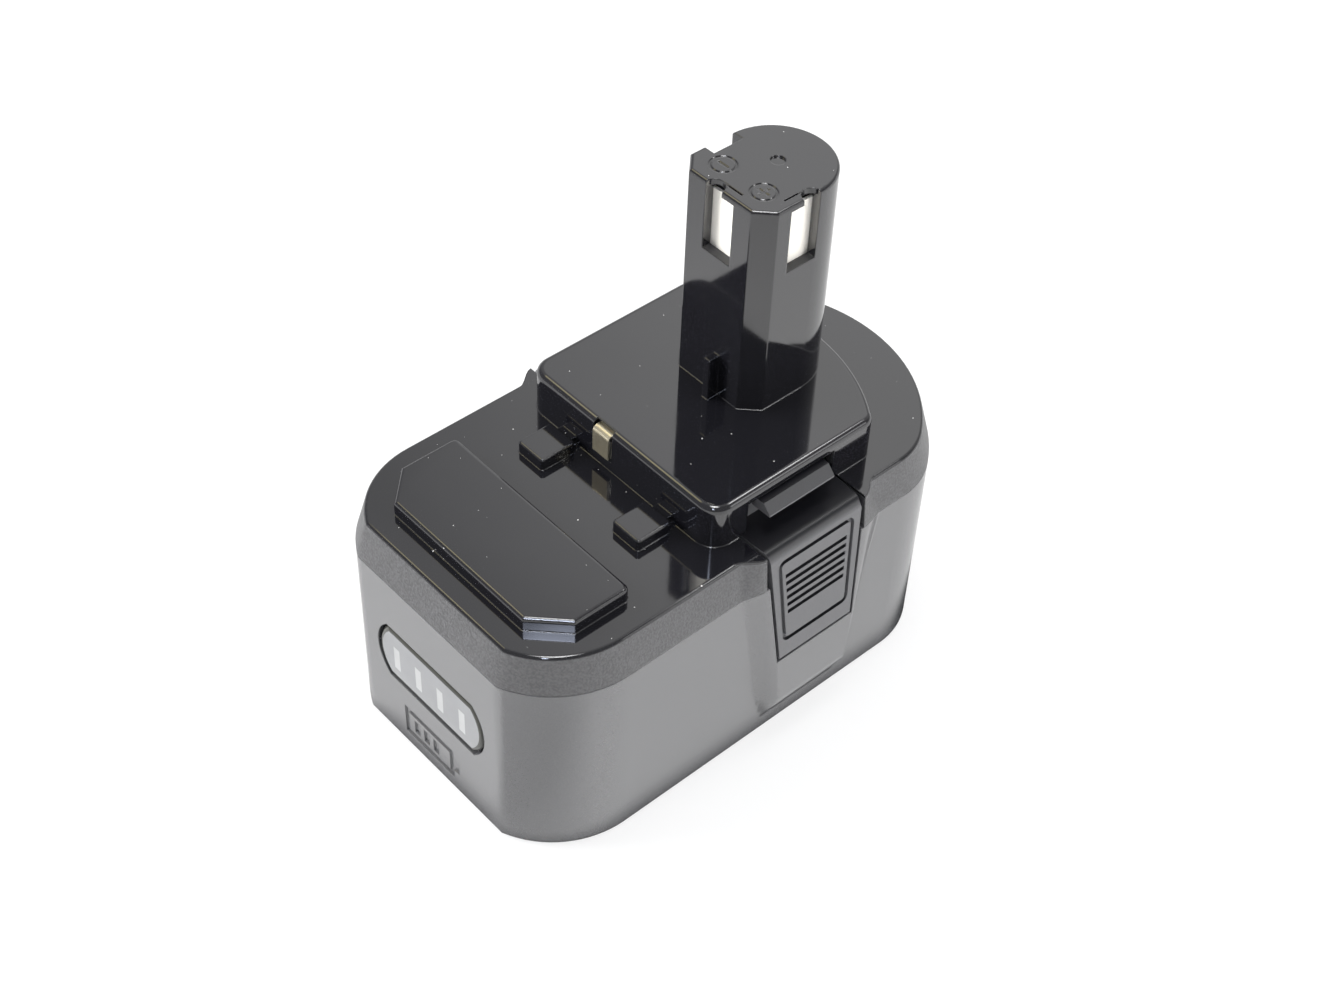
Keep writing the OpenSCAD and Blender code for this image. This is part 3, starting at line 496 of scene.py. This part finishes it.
def merged(node):
    """Bmesh of a CAD node, its triangles joined to whole faces."""
    bm = bmesh.new()
    bm.from_mesh(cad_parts[node].data)
    bmesh.ops.remove_doubles(bm, verts=bm.verts, dist=WELD)
    bmesh.ops.dissolve_limit(bm, angle_limit=FLAT, verts=bm.verts, edges=bm.edges)
    return bm


def soften(bm, edges, width, segments, clamp=True):
    """Rounds edges of a merged copy."""
    bmesh.ops.bevel(
        bm, geom=edges, offset=width, offset_type="OFFSET", segments=segments, profile=0.5,
        affect="EDGES", clamp_overlap=clamp, material=-1,
    )


def weigh_normals(obj):
    """Smooth shading in which the large faces keep their own direction."""
    obj.data.shade_smooth()
    obj.data.set_sharp_from_angle(angle=math.radians(40))
    weigh = obj.modifiers.new("Weighted normals", "WEIGHTED_NORMAL")
    weigh.keep_sharp = True
    weigh.weight = 100


def on_pod(face):
    """Whether a face is one of the facets of a flared pod, which stands proud of the pack's side."""
    least_turn = 0.15
    proud_of_housing, proud_of_band = 0.005 * MM, 0.02 * MM
    middle = face.calc_center_median()
    out = face.normal.x * (1 if middle.x > 0 else -1)
    if out < least_turn or any(abs(v.co.y - LATCH_Y) > POD_HALF for v in face.verts):
        return False
    if middle.z < PARTING_Z:
        return abs(middle.x) > SIDE_X + proud_of_housing
    lean = (middle.z - PARTING_Z) / BAND_HEIGHT * BAND_LEAN
    return abs(middle.x) > SIDE_X - lean + proud_of_band


def on_front(face):
    """Whether a face lies along the flat front, at any lean."""
    most_turn, least_forward = 0.01, 0.3
    return abs(face.normal.x) < most_turn and -face.normal.y > least_forward


def is_level(face):
    """Whether a face looks straight up."""
    return face.normal.z > LEVEL


def blend_creases(bm, kept, strip):
    """Turns the normals half way where the flat front meets its rounded corners.

    The front is cut a strip's width from the corners, so that the turn of the light ends there.
    """
    corner_x, front_depth = 15 * MM, 4 * MM
    softest, sharpest = 0.1, 0.6
    alike = 0.95
    for side in (1, -1):
        creases = [
            e for e in bm.edges
            if len(e.link_faces) == 2
            and sum(on_front(f) for f in e.link_faces) == 1
            and all(v.co.y < FRONT_Y + front_depth and v.co.x * side > corner_x for v in e.verts)
            and softest < e.calc_face_angle() < sharpest
        ]
        if not creases:
            continue
        place = min(v.co.x * side for e in creases for v in e.verts) - strip
        front = [f for f in bm.faces if on_front(f)]
        cut = {item for f in front for item in (f, *f.edges, *f.verts)}
        points = [
            (v.co.copy(), sum((f.normal for f in e.link_faces), Vector()).normalized())
            for e in creases for v in e.verts
        ]
        bmesh.ops.bisect_plane(
            bm, geom=list(cut), dist=WELD / 2, plane_co=(side * place, 0, 0), plane_no=(1, 0, 0)
        )
        for vert in bm.verts:
            for point, half_way in points:
                if (vert.co - point).length < WELD:
                    for loop in vert.link_loops:
                        if loop.face.normal.dot(half_way) > alike:
                            loop[kept] = half_way


def blend_pods(bm, kept):
    """Blends the normals of the pods' facets, and joins them to the flat faces next to them."""
    flared = {face for face in bm.faces if on_pod(face)}
    for face in flared:
        for loop in face.loops:
            near = [f for f in loop.vert.link_faces if f.normal.dot(face.normal) > BLEND]
            flat = [f for f in near if f not in flared]
            if flat:
                loop[kept] = max(flat, key=lambda f: f.normal.dot(face.normal)).normal
            else:
                loop[kept] = sum((f.normal * f.calc_area() for f in near), Vector()).normalized()


def split_level_faces(bm):
    """Gives level faces vertices of their own, because the renderer keeps one normal for a vertex."""
    rims = [e for e in bm.edges if len({is_level(f) for f in e.link_faces}) == 2]
    open_edges = [e for e in bm.edges if len(e.link_faces) == 1]
    bmesh.ops.split_edges(bm, edges=rims + open_edges)


def moulding(node, name, material, slot, strip):
    """Copy of a moulding with the solid's own normals, but flat on level faces and blended on its pods."""
    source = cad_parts[node].data
    normals = [item.vector.copy() for item in source.corner_normals]
    bm = bmesh.new()
    bm.from_mesh(source)
    kept = bm.loops.layers.float_vector.new("cad_normal")
    for face in bm.faces:
        face.smooth = True
        for loop in face.loops:
            loop[kept] = face.normal if is_level(face) else normals[loop.index]
    bmesh.ops.remove_doubles(bm, verts=bm.verts, dist=WELD)
    bm.normal_update()
    blend_creases(bm, kept, strip)
    blend_pods(bm, kept)
    split_level_faces(bm)
    mesh = piece(bm, name, material, "case", slot, node).data
    mesh.normals_split_custom_set([item.vector for item in mesh.attributes["cad_normal"].data])
    mesh.attributes.remove(mesh.attributes["cad_normal"])


class PACK_OT_housing(bpy.types.Operator):
    """Finish the lower housing"""

    bl_idname = "pack.housing"
    bl_label = "Lower housing"

    def execute(self, context):
        finish = context.scene.pack_finishes
        # A fine even satin, smooth enough to show soft bright reflections
        satin = satin_plastic(
            "dark_abs_satin", finish.housing, rough=0.2, grain_mm=0.3, depth=0.05, ior=2.4,
            edge=finish.micro_edge,
        )
        moulding("lower_housing", "housing_moulding", satin, "housing_plastic", strip=1.2 * MM)
        return {"FINISHED"}


class PACK_OT_cover(bpy.types.Operator):
    """Finish the top cover"""

    bl_idname = "pack.cover"
    bl_label = "Top cover"

    def execute(self, context):
        black = cover_plastic(context.scene.pack_finishes)
        moulding("top_cover", "cover_moulding", black, "cover_plastic", strip=6 * MM)
        return {"FINISHED"}


class PACK_OT_latches(bpy.types.Operator):
    """Make the release latches with softened edges"""

    bl_idname = "pack.latches"
    bl_label = "Latches"

    def execute(self, context):
        finish = context.scene.pack_finishes
        # A fine grain keeps the panels dull; the ledges above them are painted dark in the cover's colour
        # as shade, and are smoother
        satin = satin_plastic(
            "dark_abs_fine_grain", finish.latch, rough=0.34, grain_mm=0.35, depth=0.16, ior=1.55,
            edge=0.1 * MM, painted_level_shade=finish.cover,
        )
        least_turn, least_length = 0.5, 12 * MM
        panel_depth, foot_height = 3 * MM, 1.2 * MM
        for side in ("right", "left"):
            bm = merged(f"latch_{side}")
            shoulder = [
                e for e in bm.edges
                if all(abs(v.co.z - TOP_Z) < SAME and abs(v.co.x) > SIDE_X for v in e.verts)
            ]
            soften(bm, shoulder, width=finish.latch_shoulder, segments=8)
            long_edges = [
                e for e in bm.edges
                if e.is_manifold
                and e.calc_face_angle_signed(0) > least_turn
                and e.calc_length() > least_length
            ]
            soften(bm, long_edges, width=finish.latch_edge, segments=3)
            # The moulded gap round the panel is wider at the face than at the guide behind it
            panel = [v for v in bm.verts if abs(v.co.x) > SIDE_X - panel_depth]
            bmesh.ops.scale(
                bm, verts=panel, vec=(1, 1 - finish.latch_gap / LATCH_HALF, 1),
                space=Matrix.Translation((0, -LATCH_Y, 0)),
            )
            lowest = min(v.co.z for v in panel)
            for vert in panel:
                if vert.co.z < lowest + foot_height:
                    vert.co.z += finish.latch_gap
            latch = piece(
                bm, f"{side}_latch_moulding", satin, f"{side}_latch", "latch_plastic", f"latch_{side}"
            )
            weigh_normals(latch)
        return {"FINISHED"}


class PACK_OT_springs(bpy.types.Operator):
    """Wind the latches' return springs"""

    bl_idname = "pack.springs"
    bl_label = "Springs"

    def execute(self, context):
        wire = 0.7 * MM
        turns = 6
        steps = 16
        # Drawn wire: bright, with fine lines
        steel = plated_strip(
            "spring_steel_wire", linear("#b9babd"), metallic=1.0, rough=0.28, drawn_mm=0.3
        )
        for side, out in (("right", 1), ("left", -1)):
            node = f"latch_spring_{side}"
            low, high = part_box(node)
            seat = low.x if out > 0 else high.x
            axis = Vector((seat + out * wire / 2, (low.y + high.y) / 2, (low.z + high.z) / 2))
            pitch = (high.x - low.x - wire) / turns
            radius = (high.y - low.y - wire) / 2
            bm = bmesh.new()
            bmesh.ops.create_circle(
                bm, segments=8, radius=wire / 2, matrix=Matrix.Translation(axis + Vector((0, radius, 0)))
            )
            bmesh.ops.spin(
                bm, geom=bm.edges[:] + bm.verts[:], cent=axis, axis=(out, 0, 0),
                angle=2 * math.pi * turns, dvec=(out * pitch / steps, 0, 0), steps=steps * turns,
                use_merge=False,
            )
            bmesh.ops.holes_fill(bm, edges=bm.edges[:], sides=0)
            bmesh.ops.recalc_face_normals(bm, faces=bm.faces[:])
            spring = piece(bm, f"{side}_return_spring", steel, "case", "spring_steel", node)
            spring.data.shade_smooth()
            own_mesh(spring)
        return {"FINISHED"}


def beside(point, low, high):
    """Whether a point of the lens lies more than a millimetre beside a box, seen from the front."""
    return point.x < low.x - MM or point.x > high.x + MM or point.z < low.z - MM or point.z > high.z + MM


class PACK_OT_gauge(bpy.types.Operator):
    """Make the gauge's lens with its rounded border, and finish its light windows"""

    bl_idname = "pack.gauge"
    bl_label = "Charge gauge"

    def execute(self, context):
        finish = context.scene.pack_finishes
        bm = merged("gauge_button")
        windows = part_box("gauge_windows")
        least_turn, facing = 0.5, 0.999
        border = [
            e for e in bm.edges
            if all(abs(v.co.y - FRONT_Y) < SAME for v in e.verts)
            and e.calc_face_angle(0) > least_turn
            and any(beside(v.co, *windows) for v in e.verts)
        ]
        soften(bm, border, width=finish.lens_edge, segments=5, clamp=False)
        bm.normal_update()
        for face in bm.faces:
            middle = face.calc_center_median()
            rounded = middle.y < FRONT_Y + finish.lens_edge and face.normal.y > -facing
            if rounded and beside(middle, *windows):
                face.material_index = 1
        # Smoked: an even grey under a clear gloss
        lens = milky_plastic("polycarbonate_smoked", finish.lens, rough=0.1)
        # Painted shade: the clear rounding is coloured dark for the gap that shows through it
        rim = milky_plastic("polycarbonate_rim_painted_dark", finish.painted_rim_shade, rough=0.06)
        obj = piece(bm, "gauge_lens", lens, "button", "lens_plastic", "gauge_button")
        obj.data.materials.append(rim)
        weigh_normals(obj)
        # Milky: pale, and less glossy than the lens
        give(milky_plastic("polycarbonate_milky", finish.window, rough=0.2), "gauge_windows")
        return {"FINISHED"}


class PACK_OT_contacts(bpy.types.Operator):
    """Finish the stem's contacts and the deck's clip"""

    bl_idname = "pack.contacts"
    bl_label = "Contacts"

    def execute(self, context):
        finish = context.scene.pack_finishes
        # Dull pale nickel, which looks nearly white between the dark jambs of the windows
        nickel = plated_strip(
            "nickel_plated_strip", finish.nickel, metallic=0.1, rough=0.45, drawn_mm=0.5
        )
        give(nickel, "terminal_front", "terminal_right", "terminal_left")
        bm = merged("deck_contact")
        least_turn = 1
        sides = [e for e in bm.edges if e.is_manifold and e.calc_face_angle_signed(0) > least_turn]
        soften(bm, sides, width=0.12 * MM, segments=2)
        # Warm bright plating
        gilt = plated_strip("plated_spring_brass", finish.gilt, metallic=0.92, rough=0.28, drawn_mm=0.4)
        weigh_normals(piece(bm, "deck_clip", gilt, "case", "contact_gilt", "deck_contact"))
        return {"FINISHED"}


class PACK_OT_cells(bpy.types.Operator):
    """Finish the cell block"""

    bl_idname = "pack.cells"
    bl_label = "Cells"

    def execute(self, context):
        finish = context.scene.pack_finishes
        give(cell_film(finish), *(f"cell_{k}" for k in range(1, 11)))
        # Plain inner mouldings: dull black with a coarser grain
        inner = satin_plastic(
            "black_abs_inner", linear("#202022"), rough=0.5, grain_mm=0.6, depth=0.1, ior=1.54,
            edge=0.1 * MM,
        )
        give(inner, "cell_holder_right", "cell_holder_left", "terminal_holder")
        # Rolled nickel: silvery and slightly warm
        nickel = plated_strip(
            "pure_nickel_strip", linear("#c8c4bb"), metallic=1.0, rough=0.35, drawn_mm=0.5
        )
        strips = [f"strip_{side}_{k}" for side in ("right", "left") for k in (1, 2, 3)]
        give(nickel, *strips, "lead_positive", "lead_negative")
        # Pressed card: dull buff with darker fibres
        card = speckled(
            "pressed_insulating_card", "#d8cda6", "#b7aa80", size_mm=1.2, rough=0.8, depth=0.15
        )
        give(card, "insulator_right", "insulator_left")
        # Foam: charcoal, with small pits
        foam = speckled("closed_cell_foam", "#4a4a4c", "#28282a", size_mm=0.8, rough=0.9, depth=0.6)
        give(foam, "bottom_pad")
        return {"FINISHED"}


class PACK_OT_boards(bpy.types.Operator):
    """Finish the circuit boards, the parts on them and the screws"""

    bl_idname = "pack.boards"
    bl_label = "Boards"

    def execute(self, context):
        finish = context.scene.pack_finishes
        give(board_laminate(finish), "main_board", "gauge_board")
        # Filled epoxy: dull black with fine specks
        epoxy = speckled(
            "moulded_epoxy_black", "#2c2c2e", "#1a1a1c", size_mm=0.5, rough=0.55, depth=0.1
        )
        give(epoxy, "power_transistors", "gauge_switch")
        # Natural nylon: creamy and waxy
        nylon = speckled("nylon_natural", "#ece6d2", "#ddd5bd", size_mm=1.5, rough=0.4, depth=0.05)
        give(nylon, "board_fuse", "board_connector")
        # Cast epoxy over phosphor: pale yellow and glossy
        lamp = speckled("led_epoxy", "#f6efc8", "#e6dca8", size_mm=0.6, rough=0.25, depth=0.05)
        give(lamp, "gauge_leds")
        give(ribbon_cable(), "gauge_cable")
        # Zinc plating: cool grey metal
        zinc = plated_strip("zinc_plated_steel", linear("#b4b6b8"), metallic=1.0, rough=0.3, drawn_mm=0.6)
        give(zinc, "housing_screws", "board_screws")
        return {"FINISHED"}


def viewing_rays(tree, path):
    """Adds the test for rays that show a thing: seen straight, mirrored, or through something clear."""
    mirrored = add(
        tree, "ShaderNodeMath",
        {0: path.outputs["Is Camera Ray"], 1: path.outputs["Is Glossy Ray"]}, operation="MAXIMUM",
    )
    return add(
        tree, "ShaderNodeMath",
        {0: mirrored, 1: path.outputs["Is Transmission Ray"]}, operation="MAXIMUM",
    )


def floor_material(share):
    """White card that fades into the background and keeps a part of its own shadow; where it is mirrored it
    shows painted shade near the foot and a painted shadow ahead of the front right corner.
    """
    material, tree, coords = start_material("white_card")
    path = add(tree, "ShaderNodeLightPath")
    fibres = add(tree, "ShaderNodeTexNoise", {"Vector": coords, "Scale": per(3)})
    paper = add(
        tree, "ShaderNodeMix",
        {0: fibres, COLOUR_A: rgba(linear("#f2f2f2")), COLOUR_B: rgba(linear("#f6f6f6"))}, data_type="RGBA",
    )
    matt = add(tree, "ShaderNodeBsdfDiffuse", {"Color": paper.outputs[COLOUR]})
    # Distance from the rectangle inside the foot
    apart = add(tree, "ShaderNodeVectorMath", {0: coords}, operation="ABSOLUTE")
    beyond = add(tree, "ShaderNodeVectorMath", {0: apart, 1: FOOT_CORE}, operation="SUBTRACT")
    outside = add(tree, "ShaderNodeVectorMath", {0: beyond, 1: (0, 0, 0)}, operation="MAXIMUM")
    reach = add(tree, "ShaderNodeVectorMath", {0: outside}, operation="LENGTH").outputs["Value"]
    # Painted shade: mirrored in the pack, the card glows less close to the foot, and less far from it to
    # the front
    close = add(
        tree, "ShaderNodeMapRange",
        {"Value": reach, "From Min": FOOT_ROUND, "From Max": FOOT_ROUND + 4.5 * MM},
    )
    far = add(
        tree, "ShaderNodeMapRange",
        {"Value": reach, "From Min": 55 * MM, "From Max": 130 * MM, "To Min": 0.0, "To Max": 0.2},
    )
    place = add(tree, "ShaderNodeSeparateXYZ", {0: coords})
    ahead = add(
        tree, "ShaderNodeMapRange",
        {
            "Value": place.outputs["Y"], "From Min": -60 * MM, "From Max": 60 * MM,
            "To Min": 1.0, "To Max": 0.0,
        },
    )
    loss = add(tree, "ShaderNodeMath", {0: far, 1: ahead}, operation="MULTIPLY")
    gain = add(tree, "ShaderNodeMath", {0: 1.0, 1: loss}, operation="SUBTRACT")
    # Painted shadow of the pack on the card ahead of its front right corner, seen only where the card is
    # mirrored
    corner_x = add(
        tree, "ShaderNodeMapRange",
        {
            "Value": place.outputs["X"], "From Min": 13 * MM, "From Max": 21 * MM,
            "To Min": 0.0, "To Max": 0.4,
        },
    )
    corner_y = add(
        tree, "ShaderNodeMapRange",
        {
            "Value": place.outputs["Y"], "From Min": -72 * MM, "From Max": -48 * MM,
            "To Min": 1.0, "To Max": 0.0,
        },
    )
    corner = add(tree, "ShaderNodeMath", {0: corner_x, 1: corner_y}, operation="MULTIPLY")
    fade = add(
        tree, "ShaderNodeMapRange",
        {"Value": reach, "From Min": 62 * MM, "From Max": 85 * MM, "To Min": 1.0, "To Max": 0.0},
    )
    painted_corner_shadow = add(tree, "ShaderNodeMath", {0: corner, 1: fade}, operation="MULTIPLY")
    bare = add(tree, "ShaderNodeMath", {0: 1.0, 1: painted_corner_shadow}, operation="SUBTRACT")
    open_floor = add(tree, "ShaderNodeMath", {0: close, 1: gain}, operation="MULTIPLY")
    # Glow of the card where it is mirrored, with the painted shade and the painted shadow
    painted_shade_glow = add(tree, "ShaderNodeMath", {0: open_floor, 1: bare}, operation="MULTIPLY")
    strength = add(
        tree, "ShaderNodeMix",
        {0: path.outputs["Is Camera Ray"], FLOAT_A: painted_shade_glow, FLOAT_B: 1.0}, data_type="FLOAT",
    )
    glow = add(tree, "ShaderNodeEmission", {"Color": (1, 1, 1, 1), "Strength": strength})
    # Seen straight, the card keeps a share of its shadow near the pack and is white far from it
    clear = add(
        tree, "ShaderNodeMapRange",
        {"Value": reach, "From Min": 0.2, "From Max": 0.7, "To Min": 1 - share, "To Max": 1.0},
    )
    glowing = add(
        tree, "ShaderNodeMath", {0: path.outputs["Is Glossy Ray"], 1: clear}, operation="MAXIMUM"
    )
    seen = add(tree, "ShaderNodeMixShader", {0: glowing, 1: matt, 2: glow})
    any_view = viewing_rays(tree, path)
    shader = add(tree, "ShaderNodeMixShader", {0: any_view, 1: matt, 2: seen})
    add(tree, "ShaderNodeOutputMaterial", {"Surface": shader})
    return material


def white_world(ambient):
    """White to the camera, a sweep with a bright rear to polished faces, and softer as light."""
    world = bpy.data.worlds.new("white_studio")
    bpy.context.scene.world = world
    world.use_nodes = True
    tree = world.node_tree
    tree.nodes.clear()
    path = add(tree, "ShaderNodeLightPath")
    any_view = viewing_rays(tree, path)
    light = add(tree, "ShaderNodeBackground", {"Color": (1, 1, 1, 1), "Strength": ambient})
    # Polished faces show the white sweep at the rear and along the horizon, and the darker camera side
    direction = add(tree, "ShaderNodeTexCoord").outputs["Generated"]
    towards = add(
        tree, "ShaderNodeVectorMath", {0: direction, 1: (-0.45, 0.68, 0.58)}, operation="DOT_PRODUCT"
    ).outputs["Value"]
    wide = add(
        tree, "ShaderNodeMapRange",
        {"Value": towards, "From Min": 0.55, "From Max": 0.94, "To Min": 0.2, "To Max": 0.5},
    )
    core = add(
        tree, "ShaderNodeMapRange",
        {"Value": towards, "From Min": 0.94, "From Max": 0.985, "To Min": 0.0, "To Max": 0.5},
    )
    rear = add(tree, "ShaderNodeMath", {0: wide, 1: core}, operation="ADD")
    height = add(tree, "ShaderNodeSeparateXYZ", {0: direction}).outputs["Z"]
    horizon = add(
        tree, "ShaderNodeMapRange",
        {"Value": height, "From Min": 0.05, "From Max": 0.25, "To Min": 1.0, "To Max": 0.0},
    )
    room = add(tree, "ShaderNodeMath", {0: rear, 1: horizon}, operation="MAXIMUM")
    sweep = add(
        tree, "ShaderNodeMix",
        {0: path.outputs["Is Camera Ray"], FLOAT_A: room, FLOAT_B: 1.0}, data_type="FLOAT",
    )
    white = add(tree, "ShaderNodeBackground", {"Color": (1, 1, 1, 1), "Strength": sweep})
    mix = add(tree, "ShaderNodeMixShader", {0: any_view, 1: light, 2: white})
    add(tree, "ShaderNodeOutputWorld", {"Surface": mix})


def fade_out(lamp):
    """Makes a lamp weaker towards its rim, so that it is a soft spot where it is mirrored."""
    lamp.use_nodes = True
    tree = lamp.node_tree
    tree.nodes.clear()
    place = add(tree, "ShaderNodeNewGeometry").outputs["Parametric"]
    off = add(tree, "ShaderNodeVectorMath", {0: place, 1: (0.5, 0.5, 0)}, operation="DISTANCE")
    strength = add(
        tree, "ShaderNodeMapRange",
        {"Value": off.outputs["Value"], "From Min": 0.15, "From Max": 0.5, "To Min": 1.0, "To Max": 0.0},
        interpolation_type="SMOOTHSTEP",
    )
    glow = add(tree, "ShaderNodeEmission", {"Color": (1, 1, 1, 1), "Strength": strength})
    add(tree, "ShaderNodeOutputLight", {"Surface": glow})


def softbox(name, place, size, power, tint="#ffffff", mirrored=True):
    """Area lamp at a place, turned to the pack, that may show in polished faces."""
    data = bpy.data.lights.new(name, "AREA")
    data.shape = "RECTANGLE"
    data.size, data.size_y = size
    data.energy = power
    data.color = linear(tint)
    lamp = bpy.data.objects.new(name, data)
    lamp.location = place
    lamp.rotation_mode = "QUATERNION"
    lamp.rotation_quaternion = (LAMP_AIM - Vector(place)).to_track_quat("-Z", "Y")
    lamp.visible_glossy = mirrored
    if mirrored:
        fade_out(data)
    bpy.context.scene.collection.objects.link(lamp)


def photo_camera(stage):
    """Camera on its orbit round the aim point."""
    a, e = stage.azimuth, stage.elevation
    back = Vector((math.sin(a) * math.cos(e), -math.cos(a) * math.cos(e), math.sin(e)))
    data = bpy.data.cameras.new("photo_camera")
    data.lens = stage.lens
    data.sensor_width = 36
    data.clip_start = 0.01
    camera = bpy.data.objects.new("photo_camera", data)
    camera.location = Vector(stage.aim) + back * stage.distance
    camera.rotation_mode = "QUATERNION"
    level = (-back).to_track_quat("-Z", "Y").to_matrix()
    camera.rotation_quaternion = (level @ Matrix.Rotation(stage.roll, 3, "Z")).to_quaternion()
    bpy.context.scene.collection.objects.link(camera)
    bpy.context.scene.camera = camera


class PACK_OT_stage(bpy.types.Operator):
    """Make the floor, the lights, the world and the camera"""

    bl_idname = "pack.stage"
    bl_label = "Stage"

    def execute(self, context):
        stage = context.scene.pack_stage
        context.scene.view_settings.view_transform = "Standard"
        bm = bmesh.new()
        bmesh.ops.create_grid(bm, x_segments=1, y_segments=1, size=stage.floor)
        mesh = bpy.data.meshes.new("floor")
        bm.to_mesh(mesh)
        bm.free()
        mesh.materials.append(floor_material(stage.shadow))
        floor = bpy.data.objects.new("floor", mesh)
        context.scene.collection.objects.link(floor)
        white_world(stage.ambient)
        softbox("top_softbox", place=(-0.3, 0.3, 1.2), size=(1.0, 1.0), power=6, mirrored=False)
        softbox("right_softbox", place=(1.05, 0.6, 0.5), size=(0.8, 0.8), power=12, mirrored=False)
        softbox("front_softbox", place=(-0.95, -0.8, 0.5), size=(0.8, 0.8), power=36, mirrored=False)
        softbox("overhead_strip", place=(0.0, 0.0, 1.3), size=(0.5, 0.5), power=10)
        softbox("rear_strip", place=(0.1, 0.59, 1.04), size=(0.28, 0.28), power=2)
        softbox("right_card", place=(0.94, 0.63, 0.61), size=(0.56, 0.56), power=1.6)
        softbox("warm_strip", place=(-0.56, -0.10, 0.94), size=(0.55, 0.35), power=1.3, tint="#f6e9b4")
        softbox("camera_lamp", place=(0.39, -0.49, 0.79), size=(0.15, 0.15), power=2.8, tint="#dfe8ff")
        photo_camera(stage)
        return {"FINISHED"}


STEPS = (
    PACK_OT_housing,
    PACK_OT_cover,
    PACK_OT_latches,
    PACK_OT_springs,
    PACK_OT_gauge,
    PACK_OT_contacts,
    PACK_OT_cells,
    PACK_OT_boards,
    PACK_OT_stage,
)


class PACK_PT_sidebar(bpy.types.Panel):
    """Finishes and steps of the battery pack"""

    bl_label = "Battery pack"
    bl_idname = "PACK_PT_sidebar"
    bl_space_type = "VIEW_3D"
    bl_region_type = "UI"
    bl_category = "Battery pack"

    def draw(self, context):
        for group in (context.scene.pack_finishes, context.scene.pack_stage):
            for name in group.__annotations__:
                self.layout.prop(group, name)
        for step in STEPS:
            self.layout.operator(step.bl_idname)


CLASSES = (PackFinishes, PackStage, *STEPS, PACK_PT_sidebar)


def register():
    """Registers the classes and gives each scene the two groups of properties."""
    for item in CLASSES:
        bpy.utils.register_class(item)
    bpy.types.Scene.pack_finishes = PointerProperty(type=PackFinishes)
    bpy.types.Scene.pack_stage = PointerProperty(type=PackStage)


def unregister():
    """Takes the properties and the classes away again."""
    del bpy.types.Scene.pack_stage
    del bpy.types.Scene.pack_finishes
    for item in reversed(CLASSES):
        bpy.utils.unregister_class(item)


def main():
    """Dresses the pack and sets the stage."""
    register()
    bpy.ops.pack.housing()
    bpy.ops.pack.cover()
    bpy.ops.pack.latches()
    bpy.ops.pack.springs()
    bpy.ops.pack.gauge()
    bpy.ops.pack.contacts()
    bpy.ops.pack.cells()
    bpy.ops.pack.boards()
    bpy.ops.pack.stage()


if __name__ == "__main__":
    main()
